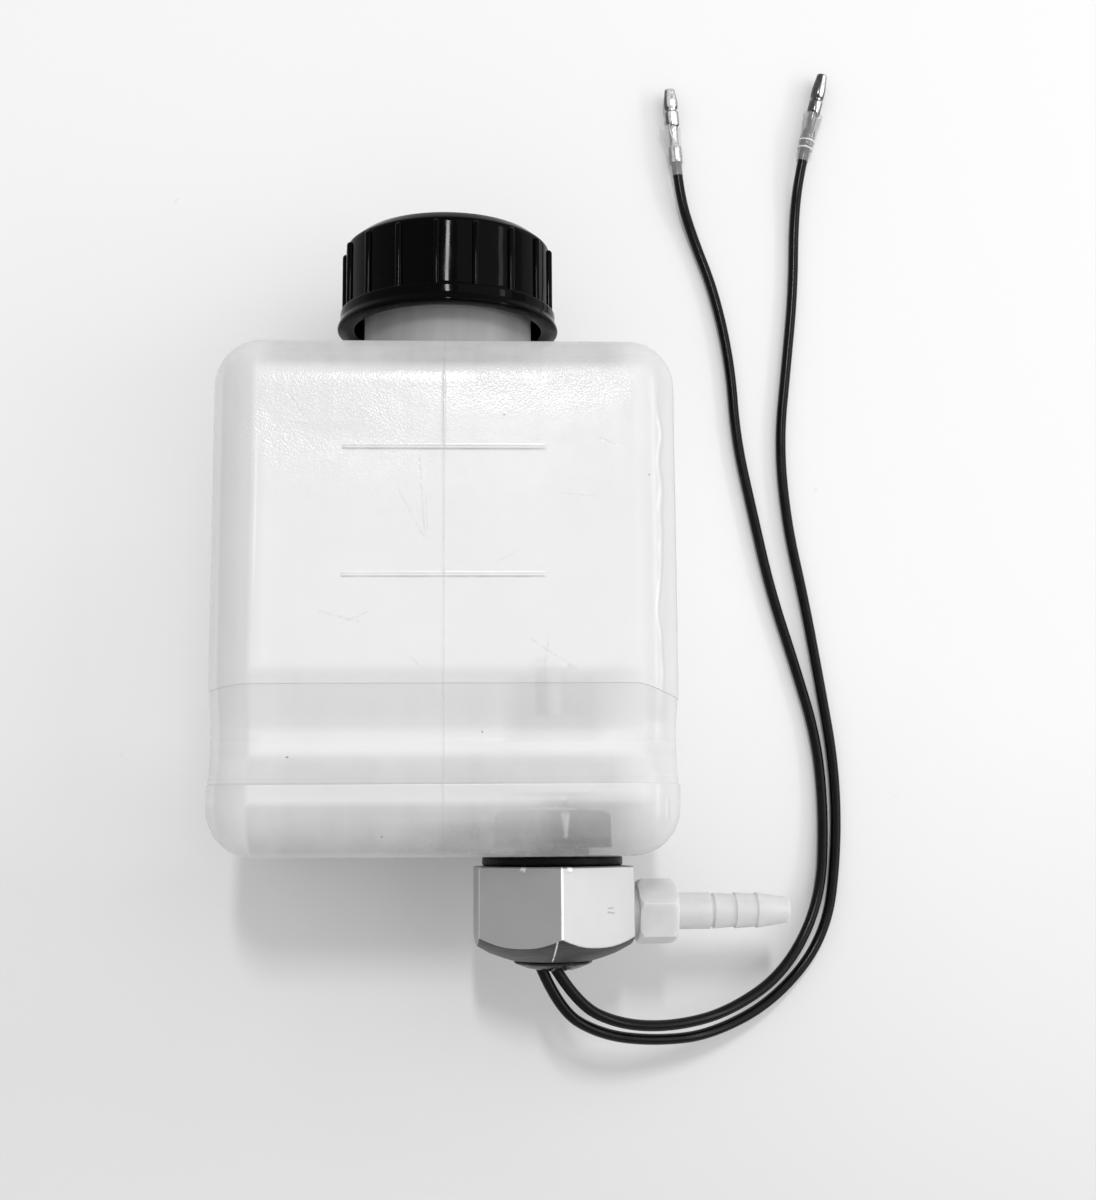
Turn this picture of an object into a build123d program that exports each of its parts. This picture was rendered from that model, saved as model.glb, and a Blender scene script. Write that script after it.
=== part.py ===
from build123d import *
import math
import os

os.makedirs("parts", exist_ok=True)

# Gear oil reservoir lying on its back face, in millimetres.
# Z points up from the floor, Y runs along the bottle axis from the base to the cap,
# X points to the side that carries the hose barb.
# The origin is the middle of the bottle's back face, on the floor.

# Bottle, blown in one piece with its neck
BODY_W = 111.2          # across X
BODY_L = 124.0          # along Y, base to shoulder
BODY_T = 76.0           # front to back, along Z
BODY_ROUND = 11.5       # rounding of every edge and corner
WALL = 2.0
HALF_W = BODY_W / 2
BASE_Y = -BODY_L / 2
SHOULDER_Y = BODY_L / 2
AXIS_Z = BODY_T / 2     # height of the bottle axis over the floor

# Strap groove around the lower body, as heights over the base
GROOVE_TOP = 39.8
GROOVE_FLOOR_TOP = 29.2
GROOVE_FLOOR_LOW = 23.6
GROOVE_LOW = 16.7
GROOVE_FACE_DEPTH = 3.0     # on the front and back
GROOVE_SIDE_DEPTH = 0.8     # on the two sides
GROOVE_STEP = 0.35          # sharp edge where the groove starts

# Level marks, thin ridges on the front
MARK_DROP = 28.0            # upper mark, under the shoulder
MARK_SPACING = 30.3         # from the upper mark to the lower one
MARK_L = 47.1
MARK_W = 1.0
MARK_PROUD = 0.35

# Neck and its thread
NECK_R = 21.55
NECK_WALL = 2.05
NECK_ROOT_ROUND = 1.2
THREAD_PITCH = 4.233
THREAD_TURNS = 1.0
NECK_THREAD_PROUD = 1.85
NECK_THREAD_BASE = 2.4
NECK_THREAD_CREST = 1.2

# Cap
CAP_LIFT_GAP = 10.2         # cap rim over the shoulder
CAP_H = 24.4
CAP_RIM_R = 28.6
CAP_BAND_H = 4.9            # plain flared band at the rim
CAP_BAND_R = 27.6
CAP_WALL_R = 26.5
CAP_TOP_R = 23.6
CAP_BEVEL_H = 2.6
CAP_TOP_T = 2.2
CAP_BORE_GAP = 0.65         # thread crest to the facing wall, in the cap and on the neck
CAP_THREAD_BASE = 2.0
CAP_THREAD_CREST = 1.0
CAP_THREAD_TURNS = 0.9
RIB_COUNT = 17
RIB_R = 1.0                 # rounding of one grip rib
RIB_PROUD = 1.0
RIB_FIRST = -3.5            # degrees from the front
LINER_T = 1.2
CAP_BORE_R = NECK_R + NECK_THREAD_PROUD + CAP_BORE_GAP
CAP_RIM_Y = SHOULDER_Y + CAP_LIFT_GAP
CAP_TOP_Y = CAP_RIM_Y + CAP_H
NECK_TOP_Y = CAP_TOP_Y - CAP_TOP_T - LINER_T
THREAD_START_Y = NECK_TOP_Y - 2.5 - THREAD_PITCH * THREAD_TURNS

# Hexagonal metal housing under the base
HEX_AF = 38.1
HEX_TURN = 3.6              # degrees, how far the hexagon stops from square
HEX_L = 16.95               # straight edge
HEX_CONE_L = 6.1
HEX_CONE_END_R = 9.8
HEX_R = HEX_AF / math.sqrt(3)
STUD_D = 18.0
STUD_PROUD = 1.0            # stud end over the nut
CHAMBER_R = 6.5
CHAMBER_FLOOR = 7.1         # over the lower end of the cone
CUP_R = 8.6                 # recess that holds the sealing compound
CUP_DEPTH = 4.1
SEAT_GAP = 0.3              # clearance round the stud and other loose seats
CLOSE_GAP = 0.05            # bonded and threaded seats

# Seal, washer and nut that clamp the base
SEAL_T = 2.5
SEAL_R = 17.5
SEAL_ROUND = 0.8
SEAL_EDGE_GAP = 0.3         # seal to the rounding of the base
WASHER_T = 1.0
WASHER_R = 15.0
NUT_AF = 26.5
NUT_T = 8.0
NUT_TURN = 10.0
HOUSING_X = HALF_W - BODY_ROUND - SEAL_EDGE_GAP - SEAL_R     # housing axis from the bottle axis
SEAL_Y = BASE_Y - SEAL_T
HEX_END_Y = SEAL_Y - HEX_L
CONE_END_Y = HEX_END_Y - HEX_CONE_L
WASHER_Y = BASE_Y + WALL
NUT_Y = WASHER_Y + WASHER_T
STUD_END_Y = NUT_Y + NUT_T + STUD_PROUD
CHAMBER_Y = CONE_END_Y + CHAMBER_FLOOR
CUP_Y = CONE_END_Y + CUP_DEPTH

# Float switch
STEM_R = 4.0
STEM_WALL = 1.0
TUBE_SUNK = 1.2             # lower end of the stem in the sealing compound
CLIP_T = 1.2
CLIP_R = 6.2
CLIP_GROOVE = 0.5
CLIP_FROM_END = 1.8
CLIP_OVER_STUD = 1.6
FLOAT_R = 11.7
FLOAT_H = 19.2
FLOAT_WALL = 1.2
FLOAT_ROUND = 1.5
FLOAT_BORE_GAP = 0.5
FLOAT_TRAVEL = 12.2
MAGNET_H = 5.0
MAGNET_T = 2.2
REED_R = 1.2
REED_L = 14.0
REED_LEAD_R = 0.3
LOW_CLIP_Y = STUD_END_Y + CLIP_OVER_STUD
FLOAT_LOW_Y = LOW_CLIP_Y + CLIP_T + SEAT_GAP
HIGH_CLIP_Y = FLOAT_LOW_Y + FLOAT_H + FLOAT_TRAVEL + SEAT_GAP
STEM_END_Y = HIGH_CLIP_Y + CLIP_T + CLIP_FROM_END
TUBE_LOW_Y = CUP_Y - TUBE_SUNK

# Sealing compound and the two wires
POT_DOME = 2.6
WIRE_D = 2.8
WIRE_R = WIRE_D / 2
POT_END_Y = CONE_END_Y - POT_DOME

# Hose barb, as lengths out from the flat of the hexagon
PORT_DROP = 11.4            # port axis under the top of the housing
BARB_THREAD_R = 5.75
BARB_THREAD_IN = 9.5
BARB_NECK = 1.95
COLLAR_AF = 14.6
COLLAR_L = 9.65
COLLAR_TURN = 15.0
LAND_R = 4.5
LAND_L = 8.8
BARB_VALLEY_R = 4.05
BARB_CREST_R = 4.45
BARB_RELIEF = 0.9
BARB_STEP = 5.45
BARB_COUNT = 3
BARB_NOSE = 8.4
BARB_TIP_R = 3.15
BARB_BORE_R = 2.5
PORT_Y = SEAL_Y - PORT_DROP

# Bullet terminals with clear sleeves
TERM_TIP_R = 1.3
TERM_R = 1.9
TERM_NOSE_L = 3.8           # tapered nose
TERM_HEAD_L = 1.9           # full width between the nose and the ring groove
TERM_GROOVE_L = 1.3
TERM_GROOVE_DEPTH = 0.45
TERM_LAND_L = 4.0           # full width behind the ring groove
TERM_SLOPE_L = 0.7
TERM_WAIST_R = 1.3
TERM_L = 22.3
TERM_GRIP = 4.6             # length that grips the wire jacket
TERM_WALL = 0.4
STRAND_R = 0.8
STRAND_L = 6.0
SLEEVE_R = 3.0
SLEEVE_WALL = 0.35
SLEEVE_START = 11.8         # from the tip
SLEEVE_L = 14.4
WIRE_IN = 19.0              # wire jacket ends this far from the tip

# Corner points of the wires: across from the housing axis, along from the end of the
# sealing compound, and share of the drop from the bottle axis to the floor.
OUTER_ROUTE = [
    (-4.3, 4.1, 1.014),
    (1.3, -8.7, 0.964),
    (12.2, -16.7, 0.795),
    (26.5, -20.0, 0.560),
    (42.5, -19.9, 0.325),
    (61.6, -11.5, 0.135),
    (76.8, 5.8, 0.038),
    (79.9, 29.2, 0.004),
    (79.8, 51.7, 0.0),
    (76.6, 74.4, 0.0),
    (72.6, 97.1, 0.0),
    (68.1, 119.3, 0.0),
    (66.3, 142.4, 0.0),
    (68.9, 165.0, 0.0),
    (71.4, 186.6, 0.0),
    (72.3, 207.6, 0.0),
]
OUTER_TAIL = [(74.1, 221.5), (77.2, 233.7)]
INNER_ROUTE = [
    (-1.1, 3.9, 1.014),
    (5.7, -7.0, 0.970),
    (17.2, -13.4, 0.810),
    (31.5, -15.5, 0.570),
    (47.0, -12.9, 0.345),
    (63.7, -3.6, 0.160),
    (75.4, 14.8, 0.045),
    (76.6, 36.8, 0.010),
    (75.6, 58.8, 0.0),
    (69.9, 79.8, 0.0),
    (63.1, 100.8, 0.0),
    (59.1, 122.1, 0.0),
    (54.7, 143.7, 0.0),
    (53.4, 165.3, 0.0),
    (49.3, 186.4, 0.0),
    (43.5, 202.6, 0.0),
]
INNER_TAIL = [(39.7, 215.2), (38.7, 227.6)]


def across(y, x=0.0):
    # plane square to the bottle axis, facing the cap
    return Plane(origin=(x, y, AXIS_Z), x_dir=(1, 0, 0), z_dir=(0, 1, 0))


def turned(points, x=0.0):
    # solid of revolution about a line along Y; points are (radius, y)
    face = make_face(Polyline(*points, close=True))
    placed = Plane(origin=(x, 0, AXIS_Z)) * face
    return revolve(placed, Axis((x, 0, AXIS_Z), (0, 1, 0)), 360)


def disc(radius, y0, y1, x=0.0):
    return extrude(across(y0, x) * Circle(radius), y1 - y0)


def rounded_section(y, inset_side, inset_face, corner):
    width = BODY_W - 2 * inset_side
    depth = BODY_T - 2 * inset_face
    return across(y) * RectangleRounded(width, depth, corner)


def body_form(inset):
    # outside of the body, or its hollow when inset by the wall
    box = Box(BODY_W - 2 * inset, BODY_L - 2 * inset, BODY_T - 2 * inset)
    box = Pos(0, 0, AXIS_Z) * fillet(box.edges(), BODY_ROUND - inset)
    step = inset + GROOVE_STEP
    side = inset + GROOVE_SIDE_DEPTH
    front = inset + GROOVE_FACE_DEPTH
    corner = BODY_ROUND - inset
    low = BASE_Y + GROOVE_LOW - inset / 2
    top = BASE_Y + GROOVE_TOP + inset / 2
    rings = [
        rounded_section(low, step, step, corner),
        rounded_section(BASE_Y + GROOVE_FLOOR_LOW - inset / 3, side, front, corner),
        rounded_section(BASE_Y + GROOVE_FLOOR_TOP + inset / 3, side, front, corner),
        rounded_section(top, step, step, corner),
    ]
    waist = loft(rings[:2], ruled=True)
    waist += loft(rings[1:3], ruled=True)
    waist += loft(rings[2:], ruled=True)
    slab = extrude(across(low) * Rectangle(BODY_W * 1.2, BODY_T * 1.2), top - low)
    return box - (slab - waist)


def thread_ridge(root_r, crest_r, base, crest, start_y, turns, angle):
    # one helical ridge about the bottle axis, sunk a little into its wall
    sink = 0.4 if crest_r > root_r else -0.4
    mean = (base - crest) / abs(crest_r - root_r) * 0.4
    outline = Polyline(
        (root_r - sink, -base / 2 - mean / 2),
        (crest_r, -crest / 2),
        (crest_r, crest / 2),
        (root_r - sink, base / 2 + mean / 2),
        close=True,
    )
    path = Helix(pitch=THREAD_PITCH, height=THREAD_PITCH * turns, radius=root_r)
    profile = Plane(origin=(0, 0, 0), x_dir=(1, 0, 0), z_dir=(0, -1, 0)) * make_face(outline)
    ridge = sweep(profile, path=path, is_frenet=True)
    upright = across(start_y) * Rot(0, 0, angle)
    return upright * ridge


def make_bottle():
    neck = disc(NECK_R, SHOULDER_Y - WALL, NECK_TOP_Y)
    body = body_form(0) + neck
    rim = body.edges().filter_by(GeomType.CIRCLE).filter_by_position(
        Axis.Y, SHOULDER_Y - 0.01, SHOULDER_Y + 0.01)
    body = fillet(rim, NECK_ROOT_ROUND)
    body += thread_ridge(NECK_R, NECK_R + NECK_THREAD_PROUD, NECK_THREAD_BASE,
                         NECK_THREAD_CREST, THREAD_START_Y, THREAD_TURNS, 0)
    mark = Box(MARK_L, MARK_W, 2 * MARK_PROUD)
    body += Pos(0, SHOULDER_Y - MARK_DROP, BODY_T) * mark
    body += Pos(0, SHOULDER_Y - MARK_DROP - MARK_SPACING, BODY_T) * mark
    body -= body_form(WALL)
    body -= disc(NECK_R - NECK_WALL, SHOULDER_Y - 2 * WALL, NECK_TOP_Y + 1)
    body -= disc(STUD_D / 2 + SEAT_GAP, BASE_Y - 1, BASE_Y + 2 * WALL, HOUSING_X)
    return body


def make_cap():
    band_y = CAP_RIM_Y + CAP_BAND_H
    bevel_y = CAP_TOP_Y - CAP_BEVEL_H
    inside_y = CAP_TOP_Y - CAP_TOP_T
    shell = turned([
        (0, CAP_TOP_Y),
        (CAP_TOP_R - 2.5, CAP_TOP_Y),
        (CAP_TOP_R, CAP_TOP_Y - 0.2),
        (CAP_WALL_R, bevel_y),
        (CAP_WALL_R, band_y),
        (CAP_BAND_R, band_y - 0.5),
        (CAP_RIM_R, CAP_RIM_Y + 0.6),
        (CAP_RIM_R - 0.4, CAP_RIM_Y),
        (CAP_BORE_R + 0.4, CAP_RIM_Y),
        (CAP_BORE_R, CAP_RIM_Y + 0.6),
        (CAP_BORE_R, inside_y),
        (0, inside_y),
    ])
    rib_r = CAP_WALL_R + RIB_PROUD - RIB_R
    rib_top = bevel_y - RIB_R - 0.4
    rib = extrude(across(band_y - 1.0) * Pos(0, -rib_r) * Circle(RIB_R), rib_top - band_y + 1.0)
    rib += Pos(0, rib_top, AXIS_Z + rib_r) * Sphere(RIB_R)
    for k in range(RIB_COUNT):
        turn = RIB_FIRST + k * 360 / RIB_COUNT
        spin = Location((0, 0, AXIS_Z)) * Rot(0, turn, 0) * Location((0, 0, -AXIS_Z))
        shell += spin * rib
    shell -= disc(CAP_BORE_R, CAP_RIM_Y + 0.6, inside_y)
    crest_r = NECK_R + CAP_BORE_GAP
    start_y = THREAD_START_Y - THREAD_PITCH / 2 + THREAD_PITCH * (THREAD_TURNS - CAP_THREAD_TURNS)
    turn = 360 * (THREAD_TURNS - CAP_THREAD_TURNS)
    shell += thread_ridge(CAP_BORE_R, crest_r, CAP_THREAD_BASE, CAP_THREAD_CREST,
                          start_y, CAP_THREAD_TURNS, turn)
    return shell


def make_cap_liner():
    return disc(CAP_BORE_R - SEAT_GAP, NECK_TOP_Y, NECK_TOP_Y + LINER_T)


def port_plane():
    # square to the flat that carries the barb, on that flat
    turn = math.radians(HEX_TURN)
    out = (math.cos(turn), 0, -math.sin(turn))
    origin = (HOUSING_X + HEX_AF / 2 * out[0], PORT_Y, AXIS_Z + HEX_AF / 2 * out[2])
    return Plane(origin=origin, x_dir=(0, 1, 0), z_dir=out)


def make_hex_housing():
    hexagon = across(CONE_END_Y, HOUSING_X) * RegularPolygon(HEX_R, 6, rotation=HEX_TURN - 90)
    block = extrude(hexagon, SEAL_Y - CONE_END_Y)
    limit = turned([
        (0, SEAL_Y),
        (HEX_R - 0.3, SEAL_Y),
        (HEX_R + 0.3, SEAL_Y - 0.6),
        (HEX_R, HEX_END_Y),
        (HEX_CONE_END_R, CONE_END_Y),
        (0, CONE_END_Y),
    ], HOUSING_X)
    block = block & limit
    block += disc(STUD_D / 2, SEAL_Y - 1, STUD_END_Y, HOUSING_X)
    block -= disc(CHAMBER_R, CHAMBER_Y, STUD_END_Y + 1, HOUSING_X)
    block -= disc(STEM_R + CLOSE_GAP, CUP_Y - 1, CHAMBER_Y + 1, HOUSING_X)
    block -= disc(CUP_R, CONE_END_Y - 1, CUP_Y, HOUSING_X)
    port = port_plane()
    depth = HEX_AF / 2
    block -= port * extrude(Circle(BARB_THREAD_R + CLOSE_GAP), -(BARB_THREAD_IN + SEAT_GAP))
    block -= port * extrude(Circle(BARB_BORE_R), -depth)
    return block


def make_base_seal():
    seal = disc(SEAL_R, SEAL_Y, BASE_Y, HOUSING_X)
    seal = fillet(seal.edges(), SEAL_ROUND)
    return seal - disc(STUD_D / 2 + SEAT_GAP, SEAL_Y - 1, BASE_Y + 1, HOUSING_X)


def make_inner_washer():
    washer = disc(WASHER_R, WASHER_Y, NUT_Y, HOUSING_X)
    return washer - disc(STUD_D / 2 + SEAT_GAP, WASHER_Y - 1, NUT_Y + 1, HOUSING_X)


def make_lock_nut():
    nut_r = NUT_AF / math.sqrt(3)
    hexagon = across(NUT_Y, HOUSING_X) * RegularPolygon(nut_r, 6, rotation=NUT_TURN - 90)
    top = NUT_Y + NUT_T
    rim = NUT_AF / 2
    limit = turned([
        (0, NUT_Y),
        (nut_r + 1, NUT_Y),
        (nut_r + 1, top - 1.8),
        (rim, top),
        (0, top),
    ], HOUSING_X)
    nut = extrude(hexagon, NUT_T) & limit
    return nut - disc(STUD_D / 2 + CLOSE_GAP, NUT_Y - 1, top + 1, HOUSING_X)


def make_stem_tube():
    inside = STEM_R - STEM_WALL
    groove = STEM_R - CLIP_GROOVE
    low = LOW_CLIP_Y
    high = HIGH_CLIP_Y
    return turned([
        (inside, TUBE_LOW_Y),
        (STEM_R, TUBE_LOW_Y),
        (STEM_R, low),
        (groove, low),
        (groove, low + CLIP_T),
        (STEM_R, low + CLIP_T),
        (STEM_R, high),
        (groove, high),
        (groove, high + CLIP_T),
        (STEM_R, high + CLIP_T),
        (STEM_R, STEM_END_Y - 0.6),
        (STEM_R - 0.6, STEM_END_Y),
        (0, STEM_END_Y),
        (0, STEM_END_Y - STEM_WALL),
        (inside, STEM_END_Y - STEM_WALL),
    ], HOUSING_X)


def make_clip(y):
    # split ring snapped into a groove of the stem
    ring = disc(CLIP_R, y, y + CLIP_T, HOUSING_X)
    ring -= disc(STEM_R - CLIP_GROOVE, y - 1, y + CLIP_T + 1, HOUSING_X)
    slot = Pos(HOUSING_X - CLIP_R, y + CLIP_T / 2, AXIS_Z) * Box(2 * CLIP_R, 2 * CLIP_T, STEM_R)
    return ring - slot


def make_float():
    bore = STEM_R + FLOAT_BORE_GAP
    low = FLOAT_LOW_Y
    top = FLOAT_LOW_Y + FLOAT_H
    block = disc(FLOAT_R, low, top, HOUSING_X)
    block = fillet(block.edges(), FLOAT_ROUND)
    block -= disc(bore, low - 1, top + 1, HOUSING_X)
    hollow = disc(FLOAT_R - FLOAT_WALL, low + FLOAT_WALL, top - FLOAT_WALL, HOUSING_X)
    hollow -= disc(bore + FLOAT_WALL, low - 1, top + 1, HOUSING_X)
    return block - hollow


def make_float_magnet():
    bore = STEM_R + FLOAT_BORE_GAP + FLOAT_WALL
    low = FLOAT_LOW_Y + FLOAT_WALL
    ring = disc(bore + CLOSE_GAP + MAGNET_T, low, low + MAGNET_H, HOUSING_X)
    return ring - disc(bore + CLOSE_GAP, low - 1, low + MAGNET_H + 1, HOUSING_X)


def reed_y():
    # low end of the reed capsule, level with the magnet
    return FLOAT_LOW_Y + FLOAT_WALL + MAGNET_H / 2 - REED_L / 2


def make_reed_capsule():
    capsule = disc(REED_R, reed_y(), reed_y() + REED_L, HOUSING_X)
    return fillet(capsule.edges(), REED_R * 0.8)


def make_reed_lead_low():
    return disc(REED_LEAD_R, TUBE_LOW_Y, reed_y(), HOUSING_X)


def make_reed_lead_high():
    # doubles back beside the capsule on its way down to the wires
    top = reed_y() + REED_L
    offset = (REED_R + STEM_R - STEM_WALL) / 2
    path = FilletPolyline(
        (HOUSING_X, top, AXIS_Z),
        (HOUSING_X, top + 2.0, AXIS_Z),
        (HOUSING_X - offset, top + 2.0, AXIS_Z),
        (HOUSING_X - offset, TUBE_LOW_Y, AXIS_Z),
        radius=offset * 0.45,
    )
    return sweep(across(top, HOUSING_X) * Circle(REED_LEAD_R), path=path)


def wire_points(route, tail):
    drop = AXIS_Z - WIRE_R
    points = [(HOUSING_X + x, POT_END_Y + y, WIRE_R + drop * share) for x, y, share in route]
    points += [(HOUSING_X + x, POT_END_Y + y, SLEEVE_R) for x, y in tail]
    return [Vector(*point) for point in points]


def wire_line(points):
    # straight runs joined by tangent arcs, each arc as wide as its runs allow
    edges = []
    last = points[0]
    radii = []
    for before, corner, after in zip(points, points[1:], points[2:]):
        run_in = (corner - before).length
        run_out = (after - corner).length
        turn = math.radians((corner - before).get_angle(after - corner))
        reach = 0.45 * min(run_in, run_out)
        start = corner + (before - corner).normalized() * reach
        end = corner + (after - corner).normalized() * reach
        tangent = (corner - before).normalized()
        edges.append(Line(last, start))
        edges.append(TangentArc(start, end, tangent=tangent))
        radii.append(round(reach / math.tan(turn / 2), 1))
        last = end
    edges.append(Line(last, points[-1]))
    return Wire(edges), radii


def make_wire(route, tail, name):
    points = wire_points(route, tail)
    line, radii = wire_line(points)
    start = Plane(origin=points[0], z_dir=(points[1] - points[0]).normalized())
    wire = sweep(start * Circle(WIRE_R), path=line, transition=Transition.RIGHT)
    share = wire.volume / (math.pi * WIRE_R ** 2 * line.length)
    print(name, "length", round(line.length, 1), "bend radii", radii, "volume share", round(share, 4))
    return wire


def tail_plane(tail):
    # terminal axis: looks back from the terminal's tip towards the wire
    (x0, y0), (x1, y1) = tail
    out = Vector(x1 - x0, y1 - y0, 0).normalized()
    end = Vector(HOUSING_X + x1, POT_END_Y + y1, SLEEVE_R)
    return Plane(origin=end + out * WIRE_IN, x_dir=(0, 0, 1), z_dir=-out)


def spun(points):
    face = make_face(Polyline(*[(r, 0, z) for r, z in points], close=True))
    return revolve(face, Axis.Z, 360)


def make_potting(wires):
    dome = turned([
        (0, CUP_Y),
        (CUP_R, CUP_Y),
        (CUP_R, CONE_END_Y),
        (CUP_R - 1.4, CONE_END_Y - POT_DOME * 0.42),
        (CUP_R - 4.0, CONE_END_Y - POT_DOME * 0.9),
        (CUP_R - 5.5, POT_END_Y),
        (0, POT_END_Y),
    ], HOUSING_X)
    dome -= disc(STEM_R, TUBE_LOW_Y, CUP_Y + 1, HOUSING_X)
    for wire in wires:
        dome -= wire
    return dome


def make_barb_fitting():
    collar_end = BARB_NECK + COLLAR_L
    land_end = collar_end + LAND_L
    profile = [
        (0, -BARB_THREAD_IN),
        (BARB_THREAD_R - 0.7, -BARB_THREAD_IN),
        (BARB_THREAD_R, -BARB_THREAD_IN + 0.9),
        (BARB_THREAD_R, BARB_NECK),
        (LAND_R, BARB_NECK),
        (LAND_R, land_end),
        (BARB_VALLEY_R, land_end),
        (BARB_VALLEY_R, land_end + BARB_RELIEF),
    ]
    crest = land_end + BARB_RELIEF
    for k in range(BARB_COUNT):
        profile.append((BARB_CREST_R, crest))
        if k < BARB_COUNT - 1:
            profile.append((BARB_VALLEY_R, crest + BARB_STEP))
            crest += BARB_STEP
    tip = crest + BARB_NOSE
    profile += [(BARB_TIP_R, tip - 0.3), (BARB_TIP_R - 0.3, tip), (0, tip)]
    fitting = spun(profile)
    collar_r = COLLAR_AF / math.sqrt(3)
    collar = extrude(Pos(0, 0, BARB_NECK) * RegularPolygon(collar_r, 6, rotation=180 + COLLAR_TURN),
                     COLLAR_L)
    limit = spun([
        (0, BARB_NECK),
        (collar_r - 0.9, BARB_NECK),
        (collar_r, BARB_NECK + 1.1),
        (collar_r, collar_end - 1.1),
        (collar_r - 0.9, collar_end),
        (0, collar_end),
    ])
    fitting += collar & limit
    fitting -= Pos(0, 0, -BARB_THREAD_IN - 1) * extrude(Circle(BARB_BORE_R), tip + BARB_THREAD_IN + 2)
    return port_plane() * fitting


def make_terminal(tail):
    head_end = TERM_NOSE_L + TERM_HEAD_L
    land = head_end + TERM_GROOVE_L
    land_end = land + TERM_LAND_L
    body = spun([
        (0, 0),
        (TERM_TIP_R - 0.3, 0),
        (TERM_TIP_R, 0.4),
        (TERM_R, TERM_NOSE_L),
        (TERM_R, head_end),
        (TERM_R - TERM_GROOVE_DEPTH, head_end + TERM_GROOVE_L * 0.4),
        (TERM_R - TERM_GROOVE_DEPTH, head_end + TERM_GROOVE_L * 0.8),
        (TERM_R, land),
        (TERM_R, land_end),
        (TERM_WAIST_R, land_end + TERM_SLOPE_L),
        (TERM_WAIST_R, TERM_L - TERM_GRIP - TERM_SLOPE_L),
        (WIRE_R + CLOSE_GAP + TERM_WALL, TERM_L - TERM_GRIP),
        (WIRE_R + CLOSE_GAP + TERM_WALL, TERM_L),
        (0, TERM_L),
    ])
    body -= Pos(0, 0, WIRE_IN) * extrude(Circle(WIRE_R + CLOSE_GAP), TERM_L)
    body -= Pos(0, 0, WIRE_IN - STRAND_L) * extrude(Circle(STRAND_R), STRAND_L + 1)
    return tail_plane(tail) * body


def make_strands(tail):
    core = Pos(0, 0, WIRE_IN - STRAND_L) * extrude(Circle(STRAND_R), STRAND_L)
    return tail_plane(tail) * core


def make_sleeve(tail):
    neck = WIRE_R + CLOSE_GAP
    hold = WIRE_R + CLOSE_GAP + TERM_WALL + CLOSE_GAP
    end = SLEEVE_START + SLEEVE_L
    wide = SLEEVE_R - SLEEVE_WALL
    sleeve = spun([
        (wide, SLEEVE_START),
        (SLEEVE_R, SLEEVE_START),
        (SLEEVE_R - 0.15, SLEEVE_START + 5.0),
        (hold + SLEEVE_WALL, TERM_L - TERM_GRIP + 1.0),
        (hold + SLEEVE_WALL, TERM_L + 0.2),
        (neck + SLEEVE_WALL, TERM_L + 1.4),
        (neck + SLEEVE_WALL, end),
        (neck, end),
        (neck, TERM_L + 1.4),
        (hold, TERM_L + 0.2),
        (hold, TERM_L - TERM_GRIP + 1.0),
        (wide - 0.15, SLEEVE_START + 5.0),
    ])
    return tail_plane(tail) * sleeve


def save(shape, name):
    solids = shape.solids()
    print(name, "solids", len(solids), "volume", round(shape.volume, 1))
    body = solids[0] if len(solids) == 1 else Compound(children=solids)
    export_step(body, "parts/" + name + ".step")


wire_outer = make_wire(OUTER_ROUTE, OUTER_TAIL, "wire_outer")
wire_inner = make_wire(INNER_ROUTE, INNER_TAIL, "wire_inner")

save(make_bottle(), "bottle")
save(make_cap(), "cap")
save(make_cap_liner(), "cap_liner")
save(make_hex_housing(), "hex_housing")
save(make_base_seal(), "base_seal")
save(make_inner_washer(), "inner_washer")
save(make_lock_nut(), "lock_nut")
save(make_stem_tube(), "stem_tube")
save(make_clip(LOW_CLIP_Y), "stop_clip_low")
save(make_clip(HIGH_CLIP_Y), "stop_clip_high")
save(make_float(), "float_body")
save(make_float_magnet(), "float_magnet")
save(make_reed_capsule(), "reed_capsule")
save(make_reed_lead_low(), "reed_lead_low")
save(make_reed_lead_high(), "reed_lead_high")
save(make_potting([wire_outer, wire_inner]), "potting")
save(make_barb_fitting(), "barb_fitting")
save(wire_outer, "wire_outer")
save(wire_inner, "wire_inner")
save(make_terminal(OUTER_TAIL), "terminal_outer")
save(make_terminal(INNER_TAIL), "terminal_inner")
save(make_strands(OUTER_TAIL), "strands_outer")
save(make_strands(INNER_TAIL), "strands_inner")
save(make_sleeve(OUTER_TAIL), "sleeve_outer")
save(make_sleeve(INNER_TAIL), "sleeve_inner")
print("housing axis", round(HOUSING_X, 3), "stem end", round(STEM_END_Y, 3), "float low", round(FLOAT_LOW_Y, 3))
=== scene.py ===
"""A translucent gear oil reservoir lying on its back, with its base fitting, float switch and wires."""

from math import atan2, cos, exp, hypot, pi, radians, remainder, sin

import bmesh
import bpy
from mathutils import Euler, Matrix, Vector, noise


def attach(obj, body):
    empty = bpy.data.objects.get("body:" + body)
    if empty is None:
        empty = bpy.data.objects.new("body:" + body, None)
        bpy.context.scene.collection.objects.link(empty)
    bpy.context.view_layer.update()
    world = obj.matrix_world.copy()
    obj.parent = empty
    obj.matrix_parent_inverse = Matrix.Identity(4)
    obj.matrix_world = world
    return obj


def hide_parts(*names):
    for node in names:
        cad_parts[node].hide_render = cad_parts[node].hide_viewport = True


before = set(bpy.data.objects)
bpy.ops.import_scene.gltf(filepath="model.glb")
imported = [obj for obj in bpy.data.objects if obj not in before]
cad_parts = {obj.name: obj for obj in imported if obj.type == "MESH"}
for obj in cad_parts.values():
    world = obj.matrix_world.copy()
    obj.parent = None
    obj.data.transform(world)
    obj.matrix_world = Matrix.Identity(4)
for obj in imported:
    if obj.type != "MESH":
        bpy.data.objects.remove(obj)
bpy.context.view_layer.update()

# Sizes in millimetres, in the part's own frame: X to the hose barb, Y to the cap, Z up.
MM = 0.001
AXIS_Z = 38.0
FITTING_X = 26.3
HALF_W = 55.6
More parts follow.
